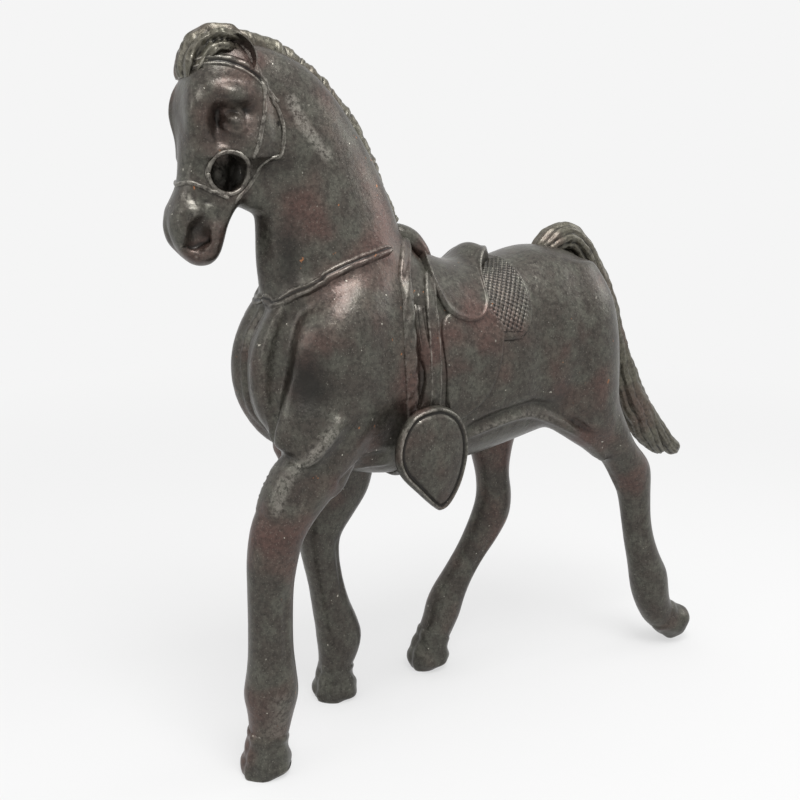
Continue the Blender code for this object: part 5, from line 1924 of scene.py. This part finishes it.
@dataclass(frozen=True)
class CastPatina:
    """Cast metal under a dark chemical patina, handled until its high points show.

    The casting's fine sand grain breaks up the gloss. The patina is a thin brown-black
    layer, redder where it is thin and greenish grey where dust lies in the hollows, and
    the raised edges are rubbed to a lighter grey. Recesses keep darker patina, some hollows
    are darkened further as painted shade, and some lines are lightened as painted highlights.
    Colours are sRGB, sizes millimetres.
    """

    name: str
    ground: str = "#47423c"
    red: str = "#5c443e"
    grey: str = "#5c5c53"
    # dark patina of the flecks and recesses, and the painted shade in the listed hollows
    hollow: str = "#1d1b18"
    # rubbed metal on the raised edges, and the painted highlight along some listed lines
    worn: str = "#9a968d"
    speck: str = "#946443"
    pale: str = "#b4b0a4"
    cloud: Pattern = Pattern(13, 2, (0.48, 0.72), 0.75)
    patch: Pattern = Pattern(3.4, 4, (0.38, 0.68), 0.7, 0.6)
    fleck: Pattern = Pattern(0.75, 4, (0.36, 0.60), 1.0, 0.75)
    dust: Pattern = Pattern(0.32, 2, (0.58, 0.76), 0.24, 0.7)
    spots: tuple[Pattern, Pattern] = (Pattern(1.3, 2, (0.71, 0.75)), Pattern(14, 2, (0.55, 0.6)))
    chips: tuple[Pattern, Pattern] = (Pattern(0.8, 1, (0.755, 0.785)), Pattern(6, 2, (0.46, 0.58)))
    dusky: float = 0.5
    cavity_and_shade_span: tuple[float, float] = (0.0, 0.7)
    cavity_and_shade_amount: float = 0.9
    wear_and_highlight_span: tuple[float, float] = (0.0, 0.9)
    wear_and_highlight_amount: float = 0.55
    wear_and_highlight_breaks: tuple[float, float] = (0.34, 0.62)
    metallic: float = 0.55
    specular: float = 0.5
    roughness: tuple[float, float] = (0.25, 0.47)
    roughness_span: tuple[float, float] = (0.25, 0.75)
    grain: float = 0.45
    grain_depth: float = 0.07
    grain_share: float = 0.6
    ripple: float = 2.6
    ripple_depth: float = 0.3
    ripple_share: float = 0.5

    def build(self) -> bpy.types.Material:
        """The material, on object coordinates and the mesh's own attributes of wear, painted highlight and
        painted shade.

        Returns:
            The material.
        """
        made, tree, shader, place = new_material(self.name)
        edge = add_node(tree, "Attribute", {"attribute_name": "edge"}).outputs["Fac"]
        cavity_and_shade = add_node(tree, "Attribute", {"attribute_name": "hollow"}).outputs["Fac"]

        def noise(size: float, detail: float, rough: float = 0.55) -> Socket:
            """Noise whose features are about size millimetres across.

            Args:
                size: how large its features are, in millimetres.
                detail: octaves.
                rough: how strong the finer octaves are.

            Returns:
                The noise, from 0 to 1.
            """
            scale = 1 / (size * MM)
            node = add_node(tree, "TexNoise", Vector=place, Scale=scale, Detail=detail, Roughness=rough)
            return node.outputs["Fac"]

        def share(pattern: Pattern) -> Socket:
            """How much of a pattern's colour shows."""
            value = noise(pattern.size, pattern.detail, pattern.rough)
            return ramp(tree, value, pattern.span, (0.0, pattern.amount))

        def both(one: Socket, two: Socket) -> Socket:
            """The product of two shares."""
            return add_node(tree, "Math", {"operation": "MULTIPLY"}, i0=one, i1=two).outputs[0]

        def blend(amount: float | Socket, under: object, over: object) -> Socket:
            """The colour under, turning to over where the amount is 1."""
            return add_node(tree, "Mix", {"data_type": "RGBA"}, i0=amount, i6=under, i7=over).outputs[2]

        fleck = noise(self.fleck.size, self.fleck.detail, self.fleck.rough)
        colour = blend(share(self.patch), linear(self.ground), linear(self.grey))
        colour = blend(share(self.cloud), colour, linear(self.red))
        dusky = blend(self.dusky, colour, linear(self.hollow))
        colour = blend(ramp(tree, fleck, self.fleck.span), dusky, colour)
        colour = blend(share(self.dust), colour, linear(self.pale))
        # darker in the hollows: patina left in the recesses, and painted shade in the listed hollows
        sunk = ramp(tree, cavity_and_shade, self.cavity_and_shade_span, (0.0, self.cavity_and_shade_amount))
        colour = blend(sunk, colour, linear(self.hollow))
        # lighter on the rubbed raised edges, and along the listed lines, partly rubbed places and partly
        # painted highlights
        raised = ramp(tree, edge, self.wear_and_highlight_span, (0.0, self.wear_and_highlight_amount))
        colour = blend(both(raised, ramp(tree, fleck, self.wear_and_highlight_breaks)), colour, linear(self.worn))
        for (fine, wide), over in ((self.spots, self.speck), (self.chips, self.pale)):
            colour = blend(both(share(fine), share(wide)), colour, linear(over))
        tree.links.new(colour, shader.inputs["Base Color"])
        shader.inputs["Metallic"].default_value = self.metallic
        shader.inputs["Specular IOR Level"].default_value = self.specular
        gloss = ramp(tree, fleck, self.roughness_span, self.roughness, "LINEAR")
        tree.links.new(gloss, shader.inputs["Roughness"])
        rough = add_node(
            tree, "Bump", Strength=self.grain_share, Distance=self.grain_depth * MM,
            Height=noise(self.grain, 3, 0.6),
        )
        soft = add_node(
            tree, "Bump", Strength=self.ripple_share, Distance=self.ripple_depth * MM,
            Height=noise(self.ripple, 2), Normal=rough.outputs["Normal"],
        )
        tree.links.new(soft.outputs["Normal"], shader.inputs["Normal"])
        return made


# Bends per millimetre: none counts as sharper, and no gentler inward one as hollow
MOST_BEND = 6.0
LEAST_HOLLOW = 0.1


def mark_wear(
    obj: Object, lines: tuple[Crease, ...] = (), painted_shade: tuple[Swell, ...] = (),
    worn: tuple[float, float] = (0.4, 2.2), low: float = 1.4,
) -> None:
    """Stores how sharply the surface is bent outwards or inwards at each vertex.

    Along an edge the bend is twice the step out of the surface over the edge's length
    squared, which is one over the radius there. A vertex takes the mean over its edges.
    Outward bends go to the attribute edge, inward ones to hollow. The listed lines, rubbed places
    and painted highlights, also go to edge, and the listed hollows, painted shade, to hollow.

    Args:
        obj: the piece.
        lines: rubbed places and painted highlights away from the edges.
        painted_shade: hollows darkened all over, as painted shade.
        worn: the bends, per millimetre, where wear begins and where it is full.
        low: the inward bend that counts as fully hollow.
    """
    points, edges, normals = read_points(obj) / MM, read_edges(obj), read_normals(obj)
    start, end = edges.T
    step = points[end] - points[start]
    square = np.maximum((step**2).sum(axis=1), 1e-4)
    out = np.zeros(len(points))
    for at, way in ((start, -2), (end, 2)):
        bend = way * (step * normals[at]).sum(axis=1) / square
        out += np.bincount(at, np.clip(bend, -MOST_BEND, MOST_BEND), len(points))
    out /= np.maximum(np.bincount(edges.ravel(), minlength=len(points)), 1)
    out = relax(out[:, None], edges, 2)[:, 0]
    raised = (out - worn[0]) / (worn[1] - worn[0])
    sunk = (-out - LEAST_HOLLOW) / low
    # edge also takes the listed lines, rubbed places and painted highlights; hollow also takes the listed
    # hollows, painted shade
    for name, values, features in (("edge", raised, lines), ("hollow", sunk, painted_shade)):
        for feature in features:
            values = np.maximum(values, feature.lift(to_horse(read_points(obj))))
        values = np.clip(values, 0, 1)
        layer = obj.data.attributes.new(name, "FLOAT", "POINT")
        layer.data.foreach_set("value", values.astype(np.float32))


def finish_piece(obj: Object, material: bpy.types.Material, slot: Slot, *nodes: str) -> None:
    """Dresses a piece, seats it on the body and names the nodes it stands for.

    Args:
        obj: the object.
        material: its finish.
        slot: its material slot in the record; not used.
        nodes: the nodes that it stands for.
    """
    obj.data.materials.clear()
    obj.data.materials.append(material)
    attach(obj, BODY)
    if nodes:
        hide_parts(*nodes)
    stands_for = ", ".join(nodes) or "no node"
    LOG.info("%s: %d vertices, stands for %s", obj.name, len(obj.data.vertices), stands_for)


# ---------------------------------------------------------------------------
# Stage


@dataclass(frozen=True)
class Lamp:
    """A square area lamp: its place and size in millimetres, and its power in watts."""

    name: str
    place: Point
    size: float
    power: float


@dataclass(frozen=True)
class Stage:
    """Pale floor, plain soft light and the camera where the photograph was taken from.

    Places and lengths are millimetres in the horse's own directions.
    """

    camera_place: Point = (93.9, 146.5, 98.6)
    camera_target: Point = (7.1, 2.0, 59.7)
    focal: float = 43.97
    sensor: float = 36.0
    clip: tuple[float, float] = (5.0, 20000.0)
    lamps: tuple[Lamp, ...] = (
        Lamp("key", (20, 120, 300), 120, 0.66),
        Lamp("fill", (230, 20, 170), 110, 0.1),
        Lamp("rim", (-220, 60, 170), 110, 0.12),
    )
    lamp_target: Point = (0.0, 0.0, 60.0)
    backdrop: str = "#f5f5f5"
    sky: tuple[float, float] = (0.2, 1.4)
    sky_heights: tuple[float, float] = (0.0, 0.9)
    floor_radii: tuple[float, ...] = (50, 200, 500, 1200, 4000)
    floor_sides: int = 96
    floor_bounce: str = "#a8a8a8"
    floor_paint: str = "#d2d2d2"
    floor_roughness: float = 0.9
    shadow_share: float = 0.35
    shadow_fade: tuple[float, float] = (80, 350)

    def build(self) -> None:
        """Makes the world, the floor, the lamps and the camera."""
        self.world()
        self.floor()
        for lamp in self.lamps:
            self.light(lamp)
        self.camera()

    def shown(self, tree: Tree) -> Socket:
        """1 for the rays that show the backdrop: camera, glossy and transmission rays.

        Args:
            tree: the material's or the world's node tree.

        Returns:
            The socket that holds 0 or 1.
        """
        path = add_node(tree, "LightPath")
        either = path.outputs["Is Camera Ray"]
        for kind in ("Is Glossy Ray", "Is Transmission Ray"):
            larger = add_node(tree, "Math", {"operation": "MAXIMUM"}, i0=either, i1=path.outputs[kind])
            either = larger.outputs[0]
        return either

    def world(self) -> None:
        """A sky brighter towards its top, which the camera and the metal see as plain white."""
        world = bpy.data.worlds.new("studio")
        world.use_nodes = True
        bpy.context.scene.world = world
        tree = world.node_tree
        tree.nodes.clear()
        place = add_node(tree, "TexCoord").outputs["Generated"]
        height = add_node(tree, "SeparateXYZ", Vector=place).outputs["Z"]
        lit = ramp(tree, height, self.sky_heights, self.sky, "LINEAR")
        strength = add_node(tree, "Mix", {"data_type": "FLOAT"}, i0=self.shown(tree), i2=lit, i3=1.0)
        sky = add_node(tree, "Background", Color=linear(self.backdrop), Strength=strength.outputs[0])
        out = add_node(tree, "OutputWorld")
        tree.links.new(sky.outputs[0], out.inputs["Surface"])

    def floor(self) -> None:
        """A disc that takes a soft shadow near the horse and fades into the backdrop beyond."""
        turn, rings = turns(self.floor_sides), len(self.floor_radii)
        radius = np.array(self.floor_radii)[:, None] * MM
        flat = np.zeros((rings, self.floor_sides))
        disc = np.stack([radius * np.cos(turn), radius * np.sin(turn), flat], axis=-1)
        points = np.concatenate([disc.reshape(-1, 3), np.zeros((1, 3))])
        j = np.arange(self.floor_sides)
        hub = np.stack([np.full_like(j, len(points) - 1), j, (j + 1) % self.floor_sides], axis=-1)
        floor = new_mesh("floor", points, grid_faces(rings, self.floor_sides, True)[:, ::-1], hub)
        floor.data.materials.append(self.sweep())

    def sweep(self) -> bpy.types.Material:
        """The floor's paint.

        Light that bounces meets a darker paint than the camera sees, and away from the
        horse the paint gives way to the backdrop's own white.

        Returns:
            The material.
        """
        made, tree, shader, place = new_material("painted_sweep")
        shader.inputs["Base Color"].default_value = linear(self.floor_bounce)
        shader.inputs["Roughness"].default_value = self.floor_roughness
        shader.inputs["Specular IOR Level"].default_value = 0.0
        away = add_node(tree, "VectorMath", {"operation": "LENGTH"}, i0=place).outputs["Value"]
        near, far = self.shadow_fade
        faded = ramp(tree, away, (near * MM, far * MM), (1.0 - self.shadow_share, 1.0))
        seen = add_node(tree, "Math", {"operation": "MULTIPLY"}, i0=faded, i1=self.shown(tree))
        glow = add_node(tree, "Emission", Color=linear(self.backdrop), Strength=1.0)
        lit = add_node(tree, "BsdfDiffuse", Color=linear(self.floor_paint))
        paint = add_node(tree, "MixShader", i0=self.shown(tree), i1=shader.outputs[0], i2=lit.outputs[0])
        mixed = add_node(tree, "MixShader", i0=seen.outputs[0], i1=paint.outputs[0], i2=glow.outputs[0])
        tree.links.new(mixed.outputs[0], tree.nodes["Material Output"].inputs["Surface"])
        return made

    def light(self, lamp: Lamp) -> None:
        """Hangs a lamp and aims it at the horse's middle.

        Args:
            lamp: the lamp.
        """
        data = bpy.data.lights.new(lamp.name, "AREA")
        data.shape = "SQUARE"
        data.size = lamp.size * MM
        data.energy = lamp.power
        self.hang(data, lamp.place, self.lamp_target)

    def camera(self) -> None:
        """The camera, from the photograph's place and with its angle of view."""
        data = bpy.data.cameras.new("camera")
        data.sensor_width = self.sensor
        data.lens = self.focal
        data.clip_start, data.clip_end = self.clip[0] * MM, self.clip[1] * MM
        bpy.context.scene.camera = self.hang(data, self.camera_place, self.camera_target)

    def hang(self, data: bpy.types.ID, place: tuple[float, ...], target: tuple[float, ...]) -> Object:
        """Puts a lamp or camera at a place and points its -Z axis at a target.

        Args:
            data: the lamp's or camera's data.
            place: where it hangs.
            target: what it points at.

        Returns:
            The linked object.
        """
        obj = linked(data.name, data)
        start, end = to_frame(np.array(place)), to_frame(np.array(target))
        obj.location = start
        obj.rotation_euler = Vector(end - start).to_track_quat("-Z", "Y").to_euler()
        return obj


# ---------------------------------------------------------------------------
# The whole horse

# A piece and the nodes that it stands for
Dressed = tuple[Object, tuple[str, ...]]


def tack_pieces(ground: Ground) -> list[Dressed]:
    """Builds the saddle, the harness and the bridle.

    Args:
        ground: the hide that they lie on.

    Returns:
        Each piece with the nodes that it stands for.
    """
    saddle, harness, bridle = Saddle(), Harness(), Bridle()
    pieces = [
        (saddle.seat(ground), ("saddle_seat", "near_saddle_flap", "off_saddle_flap")),
        (saddle.pommel(), ("saddle_horn",)),
        (saddle.cloth(ground), ("saddle_blanket",)),
        (harness.band(ground), ("girth",)),
        (bridle.line("cast_noseband", across_both(NOSEBAND_ROUTE), ground), ("noseband",)),
        (bridle.browband(ground), ("browband",)),
        (bridle.line("cast_crownpiece", across_both(CROWN_ROUTE), ground, CROWN_WIDTH), ("crownpiece",)),
    ]
    for side in Side:
        word = side.name.lower()
        cheek, throat = CHEEK_ROUTE, THROAT_ROUTE
        if side is Side.OFF:
            cheek, throat = other_side(cheek), other_side(throat)
        pieces += [
            (saddle.weave(ground, side), ()),
            (harness.fender(ground, side), (f"{word}_fender",)),
            (harness.leather(ground, side), (f"{word}_stirrup_leather",)),
            (harness.breast_strap(ground, side), (f"{word}_breast_strap",)),
            (harness.stirrup(side), (f"{word}_stirrup",)),
            (bridle.line(f"{word}_cast_cheekpiece", cheek, ground), (f"{word}_cheekpiece",)),
            (bridle.line(f"{word}_cast_throatlatch", throat, ground), ()),
            (bridle.rim(ground, side), (f"{word}_bit_ring",)),
        ]
    return pieces


def hair_pieces(ground: Ground) -> list[Dressed]:
    """Builds the tail, the mane, the forelock, the ears and the hooves.

    Args:
        ground: the hide that the mane lies on.

    Returns:
        Each piece with the nodes that it stands for.
    """
    hair = Hair()
    pieces = [(piece, ("tail",)) for piece in hair.tail()]
    pieces += [(piece, ("mane",)) for piece in hair.mane(ground)]
    pieces.append((hair.forelock(), ("forelock",)))
    pieces += [(ear.build(side), (f"{side.name.lower()}_ear",)) for side, ear in EARS.items()]
    pieces += [(hoof.build(), (hoof.name.replace("_cast", ""),)) for hoof in HOOVES]
    return pieces


def main() -> None:
    """Builds and dresses the horse and its stage."""
    logging.basicConfig(level=logging.INFO, format="%(name)s: %(message)s")
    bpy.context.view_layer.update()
    bpy.context.scene.view_settings.view_transform = "Standard"
    body = CastPatina("patinated_cast_bronze").build()
    tack = CastPatina("rubbed_cast_bronze", wear_and_highlight_amount=0.7).build()
    hair = CastPatina("dark_cast_bronze", ground="#5e5a4f", grey="#6a685b").build()
    hoof = CastPatina("scuffed_cast_bronze", ground="#45423c", wear_and_highlight_amount=0.9).build()
    cloth = CastPatina("grimy_cast_bronze", wear_and_highlight_amount=0.08).build()
    hide = Hide().build()
    ground = Ground(hide)
    for piece, nodes in tack_pieces(ground):
        mark_wear(piece)
        finish_piece(piece, cloth if "cloth" in piece.name else tack, Slot.TACK, *nodes)
    for piece, nodes in hair_pieces(ground):
        mark_wear(piece)
        finish = hoof if "hoof" in piece.name else body if "ear" in piece.name else hair
        finish_piece(piece, finish, Slot.HAIR, *nodes)
    mark_wear(hide, WEAR_AND_HIGHLIGHT_LINES, PAINTED_SHADE_HOLLOWS)
    finish_piece(
        hide, body, Slot.BODY,
        "near_body_shell", "off_body_shell", "near_foreleg", "off_foreleg", "near_hind_leg", "off_hind_leg",
    )
    Stage().build()


if __name__ == "__main__":
    main()
